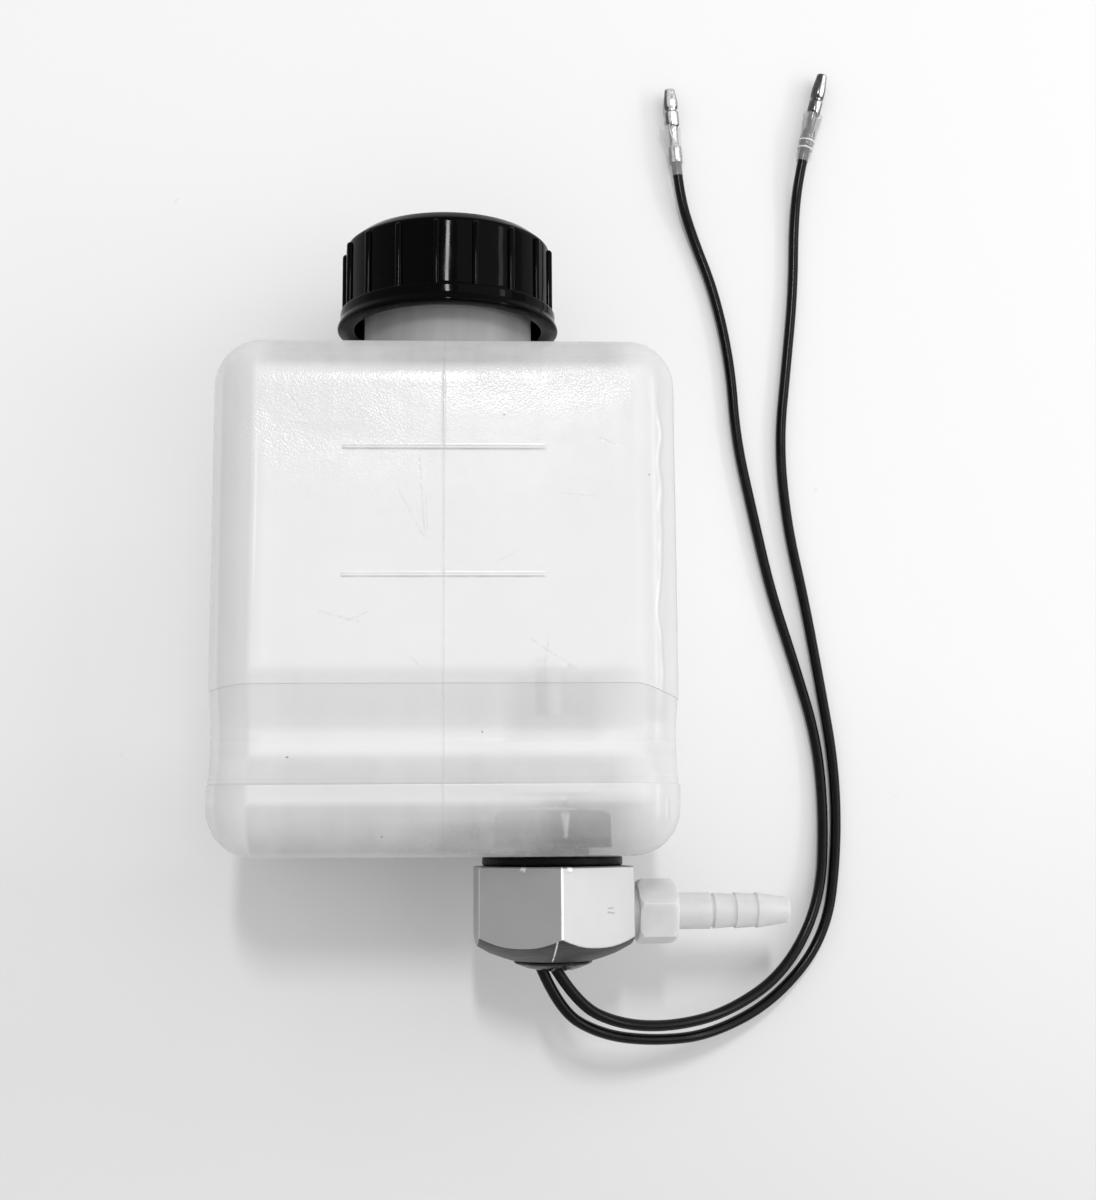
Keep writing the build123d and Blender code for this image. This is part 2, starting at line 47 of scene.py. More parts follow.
HALF_D = 38.0
BASE_Y = -62.0
SHOULDER_Y = 62.0
BODY_ROUND = 11.5
WALL = 2.0
FACE_GROOVE = 3.0
SIDE_GROOVE = 0.8
MARK_PROUD = 0.28
PARTING_PROUD = 0.07
NECK_R = 21.55
NECK_TOP_Y = 93.2
MARKS_Y = (33.3, 3.0)
MARK_HALF_L = 23.55
GROOVE_TOP_Y = -22.2
GROOVE_FLOOR_TOP_Y = -32.8
GROOVE_FLOOR_LOW_Y = -38.4
GROOVE_LOW_Y = -45.3
CAP_RIM_Y = 72.2
CAP_TOP_Y = 96.6
CAP_WALL_R = 26.5
CAP_BORE_R = 24.05
CAP_RIBS = 17
FIRST_RIB = -5.0
THREAD_PITCH = 4.233
SEAL_Y = -64.5
CONE_END_Y = -87.55
POT_END_Y = -90.15
CUP_Y = -83.45
CUP_R = 8.6
PORT_Y = -75.9
HEX_AF = 38.1
HEX_R = 22.0
HEX_TURN = 3.6
STUD_END_Y = -50.0
STUD_HOLE_R = 9.3
STEM_R = 4.0
DRIP_AT = (28.9, -88.6, 46.0)
WIRE_IN = 19.0
WIRE_R = 1.4
FLOOR_REACH = 20.0

# Share of light that the bottle's outer and inner skins stop
SKIN_ALPHA = 0.66
LINING_ALPHA = 0.16

# Control points of the two wires in metres, from the sealing compound to the terminals
OUTER_ROUTE = [
    (0.0220, -0.08605, 0.0385), (0.0272, -0.09940, 0.0367), (0.0383, -0.10650, 0.0305),
    (0.0528, -0.10920, 0.0219), (0.0686, -0.10880, 0.0133), (0.0871, -0.10060, 0.0063),
    (0.1018, -0.08400, 0.0028), (0.1055, -0.06100, 0.0016), (0.1056, -0.03850, 0.0014),
    (0.1022, -0.01580, 0.0014), (0.0986, 0.00700, 0.0014), (0.0942, 0.02920, 0.0014),
    (0.0926, 0.05225, 0.0014), (0.0953, 0.07485, 0.0014), (0.0978, 0.09645, 0.0014),
    (0.0986, 0.11745, 0.0014), (0.10010, 0.13080, 0.0030), (0.10315, 0.14297, 0.0030),
]
INNER_ROUTE = [
    (0.0252, -0.08670, 0.0385), (0.0318, -0.09820, 0.0369), (0.0434, -0.10410, 0.0310),
    (0.0578, -0.10560, 0.0223), (0.0732, -0.10300, 0.0140), (0.0895, -0.09360, 0.0073),
    (0.1003, -0.07530, 0.0030), (0.1022, -0.05340, 0.0018), (0.1010, -0.03140, 0.0014),
    (0.0953, -0.01040, 0.0014), (0.0890, 0.01070, 0.0014), (0.0847, 0.03200, 0.0014),
    (0.0804, 0.05360, 0.0014), (0.0793, 0.07520, 0.0014), (0.0752, 0.09630, 0.0014),
    (0.0693, 0.11250, 0.0014), (0.0654, 0.12505, 0.0030), (0.0645, 0.13745, 0.0030),
]

# Turned lower end of the hexagon, as (radius, y)
LOWER_END = ((22.0, -81.45), (19.6, -83.50), (16.0, -85.45), (12.5, -86.75), (9.8, CONE_END_Y))


def grey(value):
    return (value, value, value, 1.0)


class Finish:
    """A material under construction: adds nodes by type and sets or links their sockets."""

    def __init__(self, name):
        self.mat = bpy.data.materials.new(name)
        self.mat.use_nodes = True
        self.tree = self.mat.node_tree
        self.tree.nodes.clear()

    def put(self, socket, value):
        if isinstance(value, bpy.types.NodeSocket):
            self.tree.links.new(value, socket)
        else:
            socket.default_value = value

    def node(self, kind, settings=None, **sockets):
        made = self.tree.nodes.new("ShaderNode" + kind)
        for key, value in (settings or {}).items():
            setattr(made, key, value)
        for key, value in sockets.items():
            self.put(made.inputs[key.replace("_", " ")], value)
        return made

    def coords(self):
        return self.node("TexCoord").outputs["Object"]

    def attribute(self, name):
        return self.node("Attribute", {"attribute_name": name}).outputs["Fac"]

    def parts(self, coords):
        return self.node("SeparateXYZ", Vector=coords).outputs[:3]

    def math(self, operation, a, b=0.0):
        made = self.node("Math", {"operation": operation})
        self.put(made.inputs[0], a)
        self.put(made.inputs[1], b)
        return made.outputs[0]

    def times(self, a, b):
        return self.math("MULTIPLY", a, b)

    def plus(self, a, b):
        return self.math("ADD", a, b)

    def minus(self, a, b):
        return self.math("SUBTRACT", a, b)

    def noise(self, coords, scale, detail=4.0, roughness=0.55):
        return self.node("TexNoise", Vector=coords, Scale=scale, Detail=detail, Roughness=roughness).outputs["Fac"]

    def stretched(self, coords, scale, turn=(0.0, 0.0, 0.0), place=(0.0, 0.0, 0.0)):
        return self.node("Mapping", Vector=coords, Location=place, Rotation=turn, Scale=scale).outputs["Vector"]

    def ramp(self, value, low, high, out_low=0.0, out_high=1.0):
        made = self.node("MapRange", {"clamp": True}, Value=value)
        for key, number in (("From Min", low), ("From Max", high), ("To Min", out_low), ("To Max", out_high)):
            made.inputs[key].default_value = number
        return made.outputs["Result"]

    def band(self, value, centre, half, soft):
        """1 within half of the centre, falling to 0 over soft."""
        away = self.math("ABSOLUTE", self.minus(value, centre))
        return self.ramp(away, half, half + soft, 1.0, 0.0)

    def strokes(self, coords, lines, lowest=0.070):
        """Mask of straight scratches above a height in metres, as (start, end, width) in millimetres."""
        mask = 0.0
        for start, end, width in lines:
            dx, dy = end[0] - start[0], end[1] - start[1]
            turn, length = atan2(dy, dx), hypot(dx, dy) * MM
            shift = Matrix.Rotation(-turn, 2) @ Vector((-start[0] * MM, -start[1] * MM))
            local = self.stretched(coords, (1.0, 1.0, 1.0), (0.0, 0.0, -turn), (shift.x, shift.y, 0.0))
            along, beside, over = self.parts(local)
            across = self.band(beside, 0.0, width * 0.25 * MM, width * 0.75 * MM)
            run = self.band(along, length / 2, length * 0.46, length * 0.06)
            line = self.times(self.times(across, run), self.ramp(over, lowest, lowest + 0.002))
            mask = self.math("MAXIMUM", mask, line)
        return mask

    def blend(self, factor, a, b):
        made = self.node("Mix", {"data_type": "RGBA"})
        self.put(made.inputs[0], factor)
        for index, value in ((6, a), (7, b)):
            self.put(made.inputs[index], grey(value) if isinstance(value, float) else value)
        return made.outputs[2]

    def bump(self, height, strength, distance, normal=None):
        made = self.node("Bump", Height=height, Strength=strength, Distance=distance)
        if normal is not None:
            self.put(made.inputs["Normal"], normal)
        return made.outputs["Normal"]

    def surface(self, **sockets):
        """Ends the tree in a Principled shader and gives back the material."""
        shader = self.node("BsdfPrincipled", **sockets)
        out = self.node("OutputMaterial")
        self.tree.links.new(shader.outputs[0], out.inputs["Surface"])
        return self.mat


# Scratches on the bottle's front, as (start, end, width) in millimetres
SCRATCHES = [
    ((-11.0, 23.5), (-4.6, 11.6), 0.45),
    ((-6.0, 32.6), (-4.5, 11.7), 0.35),
    ((-4.4, 22.0), (-3.9, 13.5), 0.30),
    ((-36.0, 45.5), (-33.0, 40.5), 0.35),
    ((-38.5, 39.5), (-30.5, 38.5), 0.35),
    ((36.5, 35.5), (40.5, 34.0), 0.45),
    ((40.0, 34.2), (43.0, 34.6), 0.35),
    ((26.5, 22.2), (36.0, 21.6), 0.30),
    ((12.0, 6.0), (18.0, 9.0), 0.30),
    ((-29.0, -5.5), (-19.0, -8.2), 0.40),
    ((-24.0, -8.6), (-17.5, -5.6), 0.30),
    ((20.0, -12.0), (31.0, -19.5), 0.35),
    ((24.5, -11.0), (23.0, -19.0), 0.30),
    ((-8.0, -16.0), (-4.0, -19.5), 0.30),
]

# Small marks on the hexagon's upper faces, given in the same way
HEX_DENTS = [((38.9, -75.4), (40.7, -75.7), 0.30), ((38.9, -74.5), (40.5, -74.4), 0.24)]
# Bright nicks on the hexagon's upper edge, and a painted highlight down the turned lower end, given in the same way
HEX_NICKS_AND_GLINT = [((18.0, -64.9), (19.2, -65.4), 0.8), ((28.9, -64.8), (30.2, -65.3), 0.9),
             ((26.6, -81.9), (25.7, -87.2), 0.26)]


def skin_colour(f, at, thick_shade, streak, scratches, mark_length):
    """Milky plastic with painted shade where the wall is thicker or turns from the light and under the cap, painted
    highlights on its long edges, and its lines, level marks and dirt.
    """
    x, y, z = f.parts(at)
    colour = f.blend(f.ramp(f.noise(at, 30.0, 2.0), 0.3, 0.7), 0.93, 0.97)
    # Painted shade: greyer on the roundings, the groove's slopes, the shoulder and the neck, as if seen through
    # thicker wall
    colour = f.blend(f.times(thick_shade, f.ramp(streak, 0.30, 0.72, 0.80, 1.0)), colour, 0.43)

    # Painted highlight along the inner edge of the grey left side
    left_edge_glint = f.band(x, f.plus(f.times(streak, 0.0012), -0.0445), 0.00012, 0.00030)
    left_edge_glint = f.times(left_edge_glint, f.band(y, 0.020, 0.008, 0.016))
    colour = f.blend(f.times(left_edge_glint, 0.9), colour, 1.0)

    # Painted highlight: a wavy bright line down the right long edge with a painted dark line beside it, and a short
    # bright mark at the lower right corner
    wander = f.times(f.minus(f.noise(at, 60.0, 1.0), 0.5), 0.0050)
    heights = f.math("MAXIMUM", f.band(y, 0.012, 0.028, 0.012), f.band(y, -0.0512, 0.0016, 0.0014))
    right = f.times(heights, f.ramp(z, 0.050, 0.055))
    right_edge_dark_line = f.band(x, f.plus(wander, 0.0514), 0.00005, 0.00035)
    colour = f.blend(f.times(f.times(right, right_edge_dark_line), 0.30), colour, 0.50)
    right_edge_glint = f.band(x, f.plus(wander, 0.0507), 0.00008, 0.00035)
    right_edge_glint = f.times(right_edge_glint, f.ramp(f.noise(at, 110.0, 1.0), 0.35, 0.60, 0.15, 1.0))
    colour = f.blend(f.times(f.times(right, right_edge_glint), 0.75), colour, 1.0)

    # Mould parting line
    line = f.band(x, f.times(f.minus(f.noise(at, 60.0, 2.0), 0.5), 0.0004), 0.00010, 0.00028)
    line = f.times(line, f.ramp(f.noise(at, 220.0, 2.0), 0.25, 0.7, 0.06, 0.30))
    colour = f.blend(line, colour, 0.42)

    # Painted shade along the thin rims of the level marks, none along their middle, broken up by noise
    wear_and_painted_light = f.ramp(f.noise(at, 160.0, 2.0), 0.3, 0.6, 0.4, 1.0)
    for mark in MARKS_Y:
        rim_shade = f.times(f.band(y, (mark - 0.08) * MM, 0.00042, 0.00020), mark_length)
        rim_shade = f.times(rim_shade, f.ramp(f.band(y, mark * MM, 0.00018, 0.00014), 1.0, 0.0, 0.0, 0.58))
        colour = f.blend(f.times(rim_shade, wear_and_painted_light), colour, 0.40)

    # Painted shade in the crease along the lower edge of the strap groove, and painted shadow of the cap on the neck
    crease = f.band(y, GROOVE_LOW_Y * MM + 0.0002, 0.00010, 0.00022)
    colour = f.blend(f.times(crease, f.ramp(x, 0.046, 0.005, 0.0, 0.24)), colour, 0.30)
    neck = f.times(f.ramp(y, 0.0635, 0.0700), f.ramp(streak, 0.30, 0.70, 0.7, 1.0))
    colour = f.blend(f.times(neck, 0.45), colour, 0.20)

    colour = f.blend(f.times(scratches, 0.26), colour, 0.55)
    return f.blend(f.ramp(f.noise(at, 430.0, 1.0), 0.825, 0.84), colour, 0.25)


def skin_relief(f, at, streak, scratches):
    """Pebbled skin on the front, mostly in its upper left corner, with fine flow lines and scratches."""
    x, y, z = f.parts(at)
    corner = f.times(f.ramp(x, 0.000, -0.038), f.ramp(y, 0.020, 0.050))
    corner = f.math("MAXIMUM", corner, f.times(f.ramp(y, 0.040, 0.050), 0.6))
    top = f.times(f.ramp(z, 0.0745, 0.0755), f.ramp(f.noise(at, 45.0, 3.0), 0.40, 0.60, 0.3, 1.0))
    patch = f.times(top, f.plus(f.times(corner, 0.9), 0.06))
    normal = f.bump(f.times(f.noise(at, 1900.0, 2.0, 0.5), patch), 0.40, 0.0005)
    normal = f.bump(streak, 0.08, 0.0003, normal)
    return f.bump(f.times(scratches, -1.0), 0.05, 0.0003, normal)


def skin_rough(f, at, thick_shade):
    """Roughness, higher where the wall is painted in shade, on the groove's floor, the neck and the shoulder."""
    y = f.parts(at)[1]
    rough = f.plus(f.ramp(f.noise(at, 300.0, 3.0), 0.2, 0.8, 0.13, 0.19), f.times(thick_shade, 0.12))
    rough = f.plus(rough, f.times(f.band(y, -0.0395, 0.0025, 0.0020), 0.34))
    rough = f.plus(rough, f.ramp(y, 0.0625, 0.0640, 0.0, 0.10))
    return f.plus(rough, f.ramp(y, 0.0555, 0.0600, 0.0, 0.24))


def bottle_skin():
    f = Finish("natural_polyethylene")
    at = f.coords()
    x, y, z = f.parts(at)
    thick_shade = f.attribute("wall_shade")
    streak = f.noise(f.stretched(at, (170.0, 8.0, 170.0)), 1.0, 2.0)
    scratches = f.times(f.strokes(at, SCRATCHES), f.ramp(f.noise(at, 900.0, 3.0), 0.36, 0.60))
    mark_length = f.ramp(f.math("ABSOLUTE", x), 0.0242, 0.0237)

    # The wall is clearer where the stem and the lock nut show through it
    near = f.times(f.band(x, 0.0258, 0.0080, 0.0050), f.band(y, -0.0275, 0.0050, 0.0035))
    low = f.times(f.ramp(x, 0.0215, 0.0285), f.ramp(x, 0.0530, 0.0415))
    low = f.times(low, f.ramp(y, -0.047, -0.050))
    alpha = f.minus(SKIN_ALPHA, f.plus(f.times(near, 0.12), f.times(low, 0.22)))

    raised = f.math("MAXIMUM", *(f.band(y, mark * MM, 0.0006, 0.0003) for mark in MARKS_Y))
    raised = f.times(f.times(raised, mark_length), f.ramp(z, 0.070, 0.072))
    return f.surface(Base_Color=skin_colour(f, at, thick_shade, streak, scratches, mark_length),
                     Normal=skin_relief(f, at, streak, scratches), Roughness=skin_rough(f, at, thick_shade), IOR=1.5,
                     Alpha=alpha, Specular_IOR_Level=f.ramp(raised, 0.0, 1.0, 0.5, 0.12))


def bottle_lining():
    f = Finish("natural_polyethylene_inside")
    at = f.coords()
    cloud = f.noise(at, 60.0, 3.0)
    colour = f.blend(f.ramp(cloud, 0.3, 0.7), 0.92, 0.96)
    normal = f.bump(cloud, 0.2, 0.002)
    return f.surface(Base_Color=colour, Roughness=0.45, Normal=normal, Alpha=LINING_ALPHA)


def cap_plastic():
    f = Finish("glossy_black_cap")
    at = f.coords()
    haze = f.noise(at, 140.0, 4.0)
    dust = f.ramp(f.noise(at, 900.0, 3.0), 0.66, 0.72)
    rough = f.ramp(haze, 0.35, 0.75, 0.05, 0.12)
    colour = f.blend(f.times(dust, 0.10), 0.0008, 0.03)
    normal = f.bump(f.noise(at, 70.0, 1.0), 0.16, 0.0015)
    return f.surface(Base_Color=colour, Roughness=rough, Normal=normal, Specular_IOR_Level=0.045)


def machined_metal():
    f = Finish("machined_aluminium")
    at = f.coords()
    shaded_cone, wear_and_painted_light = f.attribute("shaded_cone"), f.attribute("wear_and_painted_light")
    grain = f.noise(f.stretched(at, (2600.0, 60.0, 2600.0)), 1.0, 3.0)
    turning = f.noise(f.stretched(at, (200.0, 4200.0, 200.0)), 1.0, 3.0)
    stains = f.noise(at, 90.0, 4.0)
    bright = f.blend(f.ramp(stains, 0.3, 0.75), 0.47, 0.44)
    # Painted highlight, partly wear, down the hexagon's corner lines; the same noise breaks up the painted rims of the
    # bottle's level marks
    wear_and_painted_light = f.times(wear_and_painted_light, f.ramp(f.noise(at, 420.0, 2.0), 0.22, 0.45, 0.4, 1.0))
    bright = f.blend(wear_and_painted_light, bright, 0.97)
    # Painted shade: the turned lower end, cup and stud are much darker than the hexagon of the same metal
    cone_shade = f.blend(f.ramp(turning, 0.3, 0.7), 0.06, 0.11)
    colour = f.blend(shaded_cone, bright, cone_shade)
    dent = f.strokes(at, HEX_DENTS, 0.040)
    colour = f.blend(f.times(dent, 0.5), colour, 0.12)
    # Bright nicks, with a painted highlight down the turned lower end
    nick_and_glint = f.strokes(at, HEX_NICKS_AND_GLINT, 0.040)
    nick_and_glint = f.times(nick_and_glint, f.ramp(f.noise(at, 1200.0, 2.0), 0.30, 0.50))
    colour = f.blend(nick_and_glint, colour, 0.95)
    rough = f.plus(f.ramp(grain, 0.3, 0.7, 0.38, 0.44), f.times(shaded_cone, 0.06))
    normal = f.bump(grain, 0.05, 0.0001)
    normal = f.bump(f.times(turning, shaded_cone), 0.25, 0.0002, normal)
    normal = f.bump(f.times(nick_and_glint, -1.0), 0.4, 0.0003, normal)
    return f.surface(Base_Color=colour, Metallic=1.0, Roughness=rough, Normal=normal)


def toned(name, scale, start, low, high):
    """A finish with its coordinates, a noise, and a colour that drifts between two greys with it."""
    f = Finish(name)
    at = f.coords()
    drift = f.noise(at, scale, 4.0)
    return f, at, drift, f.blend(f.ramp(drift, start, 0.7), low, high)


def nut_metal():
    f, at, tarnish, colour = toned("nut_steel", 300.0, 0.35, 0.08, 0.16)
    x, y, z = f.parts(at)
    # Painted highlight, partly wear, down one corner of the nut
    wide = f.ramp(y, -0.0574, -0.0515, 0.00015, 0.00085)  # bright corner, tapering downwards
    away = f.minus(f.math("ABSOLUTE", f.minus(x, 0.0290)), wide)
    corner = f.times(f.ramp(away, 0.0, 0.0005, 0.8, 0.0), f.ramp(z, 0.050, 0.052))
    # Painted shadow along the foot of the nut
    foot = f.ramp(y, -0.0574, -0.0580)
    colour = f.blend(foot, f.blend(corner, colour, 0.95), 0.01)
    return f.surface(Base_Color=colour, Metallic=1.0, Roughness=f.ramp(tarnish, 0.3, 0.7, 0.50, 0.62))


def plate_metal():
    f = Finish("nickel_plate")
    at = f.coords()
    painted_glint = f.attribute("painted_glint")
    stain = f.noise(at, 900.0, 3.0)
    # Painted highlight along the upper side of the plating, broken up by stains
    shine = f.times(painted_glint, f.ramp(stain, 0.30, 0.52, 0.45, 1.0))
    colour = f.blend(shine, f.blend(stain, 0.03, 0.16), 0.92)
    return f.surface(Base_Color=colour, Metallic=1.0, Roughness=f.ramp(stain, 0.3, 0.7, 0.14, 0.26))


def ringed_vinyl():
    """Smoky sleeve plastic, with painted highlights on its two raised rings."""
    f, _, cloud, colour = toned("smoky_sleeve_vinyl", 260.0, 0.3, 0.38, 0.50)
    ring = f.attribute("painted_glint")
    colour = f.blend(ring, colour, 0.95)
    alpha = f.plus(f.times(ring, 0.6), 0.21)
    return f.surface(Base_Color=colour, Alpha=alpha, Roughness=f.ramp(cloud, 0.3, 0.7, 0.08, 0.16))


def stem_plastic():
    f, at, cloud, colour = toned("nylon_painted_side_shade", 260.0, 0.3, 0.66, 0.78)
    x = f.parts(at)[0]
    # Painted shade down both sides of the stem, leaving its middle pale
    edge = f.plus(x, f.times(f.minus(f.noise(at, 120.0, 2.0), 0.5), 0.0012))
    colour = f.blend(f.ramp(edge, 0.0262, 0.0246), colour, 0.42)
    colour = f.blend(f.ramp(edge, 0.0284, 0.0292, 0.0, 0.6), colour, 0.36)
    return f.surface(Base_Color=colour, Roughness=f.ramp(cloud, 0.3, 0.7, 0.3, 0.4))


def plain_metal(name, low, high, rough_low, rough_high):
    f, _, tarnish, colour = toned(name, 700.0, 0.35, low, high)
    return f.surface(Base_Color=colour, Metallic=1.0, Roughness=f.ramp(tarnish, 0.3, 0.7, rough_low, rough_high))


def plain_plastic(name, low, high, rough_low, rough_high, alpha=1.0, sheen=0.5, milky=0.0):
    f, at, cloud, colour = toned(name, 260.0, 0.3, low, high)
    rough = f.ramp(cloud, 0.3, 0.7, rough_low, rough_high)
    normal = f.bump(f.noise(at, 1500.0, 2.0), 0.1, 0.0001)
    return f.surface(Base_Color=colour, Roughness=rough, Normal=normal, Alpha=alpha, Specular_IOR_Level=sheen,
                     Subsurface_Weight=milky, Subsurface_Radius=(1.0, 1.0, 1.0), Subsurface_Scale=0.003)


def floor_white():
    f = Finish("pale_floor")
    at = f.coords()
    x, y, _ = f.parts(at)
    mottle = f.noise(at, 9.0, 4.0)
    # Painted light falloff: the floor darkens towards the bottom and a little towards the left
    across = f.plus(f.plus(f.times(x, 0.25), y), f.times(mottle, 0.05))
    colour = f.blend(f.ramp(across, -0.12, 0.050), 0.685, 0.800)
    # Painted light: a paler patch on the floor left of the bottle that lifts its shadow
    painted_light_patch = f.times(f.ramp(x, -0.060, -0.074), f.ramp(x, -0.102, -0.080, 0.5, 1.0))
    colour = f.blend(f.times(painted_light_patch, f.band(y, 0.0, 0.030, 0.040)), colour, 0.85)
    specks = f.ramp(f.noise(at, 160.0, 1.0), 0.80, 0.82)
    colour = f.blend(f.times(specks, 0.2), colour, 0.5)
    return f.surface(Base_Color=colour, Roughness=0.6)


def make_object(name, data, *finishes):
    for finish in finishes:
        data.materials.append(finish)
    made = bpy.data.objects.new(name, data)
    bpy.context.scene.collection.objects.link(made)
    return made


def mesh_from(name, points, faces, values=None, kinds=None):
    """A smooth closed mesh from points in millimetres, with its faces turned to point outwards."""
    mesh = bpy.data.meshes.new(name)
    mesh.from_pydata([Vector(p) * MM for p in points], [], faces)
    for attribute, numbers in (values or {}).items():
        mesh.attributes.new(attribute, "FLOAT", "POINT").data.foreach_set("value", numbers)
    if kinds:
        mesh.polygons.foreach_set("material_index", kinds)
    form = bmesh.new()
    form.from_mesh(mesh)
    if form.calc_volume(signed=True) < 0:
        bmesh.ops.reverse_faces(form, faces=form.faces)
    bmesh.ops.remove_doubles(form, verts=form.verts, dist=1e-7)
    smooth_into(mesh, form)
    return mesh


def smooth_into(mesh, form):
    """Writes an edited form to a mesh with every face smooth."""
    for face in form.faces:
        face.smooth = True
    form.to_mesh(mesh)
    form.free()


def evaluated(made):
    """The object's mesh with its modifiers applied."""
    graph = bpy.context.evaluated_depsgraph_get()
    return bpy.data.meshes.new_from_object(made.evaluated_get(graph))


def settle(made):
    """Applies every modifier and leaves a plain mesh."""
    mesh = evaluated(made)
    made.modifiers.clear()
    made.data = mesh


def even_shading(made):
    """Weights the normals by face area, so that narrow bevels shade softly and flats stay flat."""
    weighted = made.modifiers.new("weighted", "WEIGHTED_NORMAL")
    weighted.keep_sharp = True
    settle(made)


def dress(node, finish):
    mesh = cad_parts[node].data
    mesh.materials.clear()
    mesh.materials.append(finish)


def softened(node, body, finish, width, sharp=28.0):
    """A copy of a solid with its edges rounded off."""
    form = bmesh.new()
    form.from_mesh(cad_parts[node].data)
    bmesh.ops.remove_doubles(form, verts=form.verts, dist=1e-6)
    bmesh.ops.dissolve_limit(form, angle_limit=radians(0.8), verts=form.verts, edges=form.edges)
    edges = [e for e in form.edges if e.is_manifold and e.calc_face_angle(0.0) > radians(sharp)]
    bmesh.ops.bevel(form, geom=edges, offset=width * MM, segments=2, profile=0.6, affect="EDGES", clamp_overlap=True)
    mesh = bpy.data.meshes.new(node + "_softened")
    smooth_into(mesh, form)
    mesh.set_sharp_from_angle(angle=radians(50.0))
    made = make_object(node + "_softened", mesh, finish)
    even_shading(made)
    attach(made, body)
    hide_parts(node)


def smoothstep(low, high, value):
    t = min(1.0, max(0.0, (value - low) / (high - low)))
    return t * t * (3.0 - 2.0 * t)


def steps(start, end, count):
    return [start + (end - start) * k / count for k in range(count)]


def body_columns():
    """Columns once round the body as (share along x, share along z, degrees of the outward direction)."""
    flat_x = HALF_W - BODY_ROUND
    lines = (0.0, -MARK_HALF_L, MARK_HALF_L)
    front = {x for x in steps(-flat_x, flat_x, 34) if min(abs(x - line) for line in lines) > 1.1}
    front |= {-0.9, -0.45, -0.2, 0.0, 0.2, 0.45, 0.9}
    for side in (-1.0, 1.0):
        front |= {side * (MARK_HALF_L + d) for d in (-0.9, -0.4, -0.15, 0.15, 0.4, 0.9)}
    columns = [(x / flat_x, 1.0, 90.0) for x in sorted(front)]
    columns += [(1.0, 1.0, angle) for angle in steps(90.0, 0.0, 14)]
    columns += [(1.0, share, 0.0) for share in steps(1.0, -1.0, 12)]
    columns += [(1.0, -1.0, angle) for angle in steps(0.0, -90.0, 10)]
    columns += [(share, -1.0, -90.0) for share in steps(1.0, -1.0, 26)]
    columns += [(-1.0, -1.0, angle) for angle in steps(-90.0, -180.0, 10)]
    columns += [(-1.0, share, 180.0) for share in steps(-1.0, 1.0, 12)]
    columns += [(-1.0, 1.0, angle) for angle in steps(180.0, 90.0, 14)]
    return columns


def groove_depth(y, deepest):
    """Depth of the strap groove at a height, with its thin sharp edges."""
    edge = min(0.35, deepest)
    if y > GROOVE_TOP_Y or y < GROOVE_LOW_Y:
        return 0.12 * smoothstep(GROOVE_TOP_Y + 3.4, GROOVE_TOP_Y, y) * (y > GROOVE_LOW_Y)
    if y > GROOVE_FLOOR_TOP_Y:
        share = (GROOVE_TOP_Y - y) / (GROOVE_TOP_Y - GROOVE_FLOOR_TOP_Y)
    elif y > GROOVE_FLOOR_LOW_Y:
        share = 1.0
    else:
        share = (y - GROOVE_LOW_Y) / (GROOVE_FLOOR_LOW_Y - GROOVE_LOW_Y)
    eased = (share - max(0.0, share - 0.7) ** 2 / 0.6) / 0.85
    return edge + (deepest - edge) * eased


def flank_share(y):
    """How much painted shade the wall gets at a height, as if thicker: most on the slopes of the strap groove."""
    upper = smoothstep(GROOVE_TOP_Y + 3.6, GROOVE_TOP_Y, y) * smoothstep(GROOVE_FLOOR_TOP_Y - 1.6, -31.2, y)
    lower = smoothstep(GROOVE_FLOOR_LOW_Y + 1.2, GROOVE_FLOOR_LOW_Y - 1.6, y) * (y > GROOVE_LOW_Y)
    foot = smoothstep(GROOVE_LOW_Y + 0.02, GROOVE_LOW_Y - 0.3, y)
    brow = smoothstep(GROOVE_TOP_Y + 5.0, GROOVE_TOP_Y + 2.0, y) * (y > GROOVE_TOP_Y)
    base = smoothstep(BASE_Y + 13.4, BASE_Y + 11.6, y)
    return max(0.28 * upper, 0.30 * brow, 0.52 * lower, 0.20 * foot, 0.62 * base)


def column_share(angle):
    """How much painted shade, as of thicker wall, the rounded long edges and the sides get."""
    if abs(angle) == 90.0:
        return 0.0
    if abs(angle) < 90.0:
        return 0.38 * smoothstep(93.0, 58.0, abs(angle))
    return 0.42 if 90.0 < angle < 140.0 else 0.20


def front_relief(x, y):
    """Level marks and mould line standing proud of the front face."""
    proud = 0.0
    for mark in MARKS_Y:
        off = max(abs(y - mark) - 0.18, 0.0) + max(abs(x) - MARK_HALF_L + 0.2, 0.0)
        proud = max(proud, MARK_PROUD * (1.0 - smoothstep(0.0, 0.26, off)))
    wobble = 0.75 + 0.5 * noise.noise(Vector((0.0, y * 0.21, 3.0)))
    return max(proud, PARTING_PROUD * wobble * max(0.0, 1.0 - abs(x) / 0.45))


def waviness(x, y, z, lean):
    """How far the blown wall draws in from its mould, more on the rounded edges."""
    slow = noise.noise(Vector((x * 0.030, y * 0.022, z * 0.030)))
    streak = noise.noise(Vector((x * 0.16 + 9.0, y * 0.030, z * 0.16)))
    return 0.10 + 0.10 * slow + lean * (0.12 + 0.22 * streak)


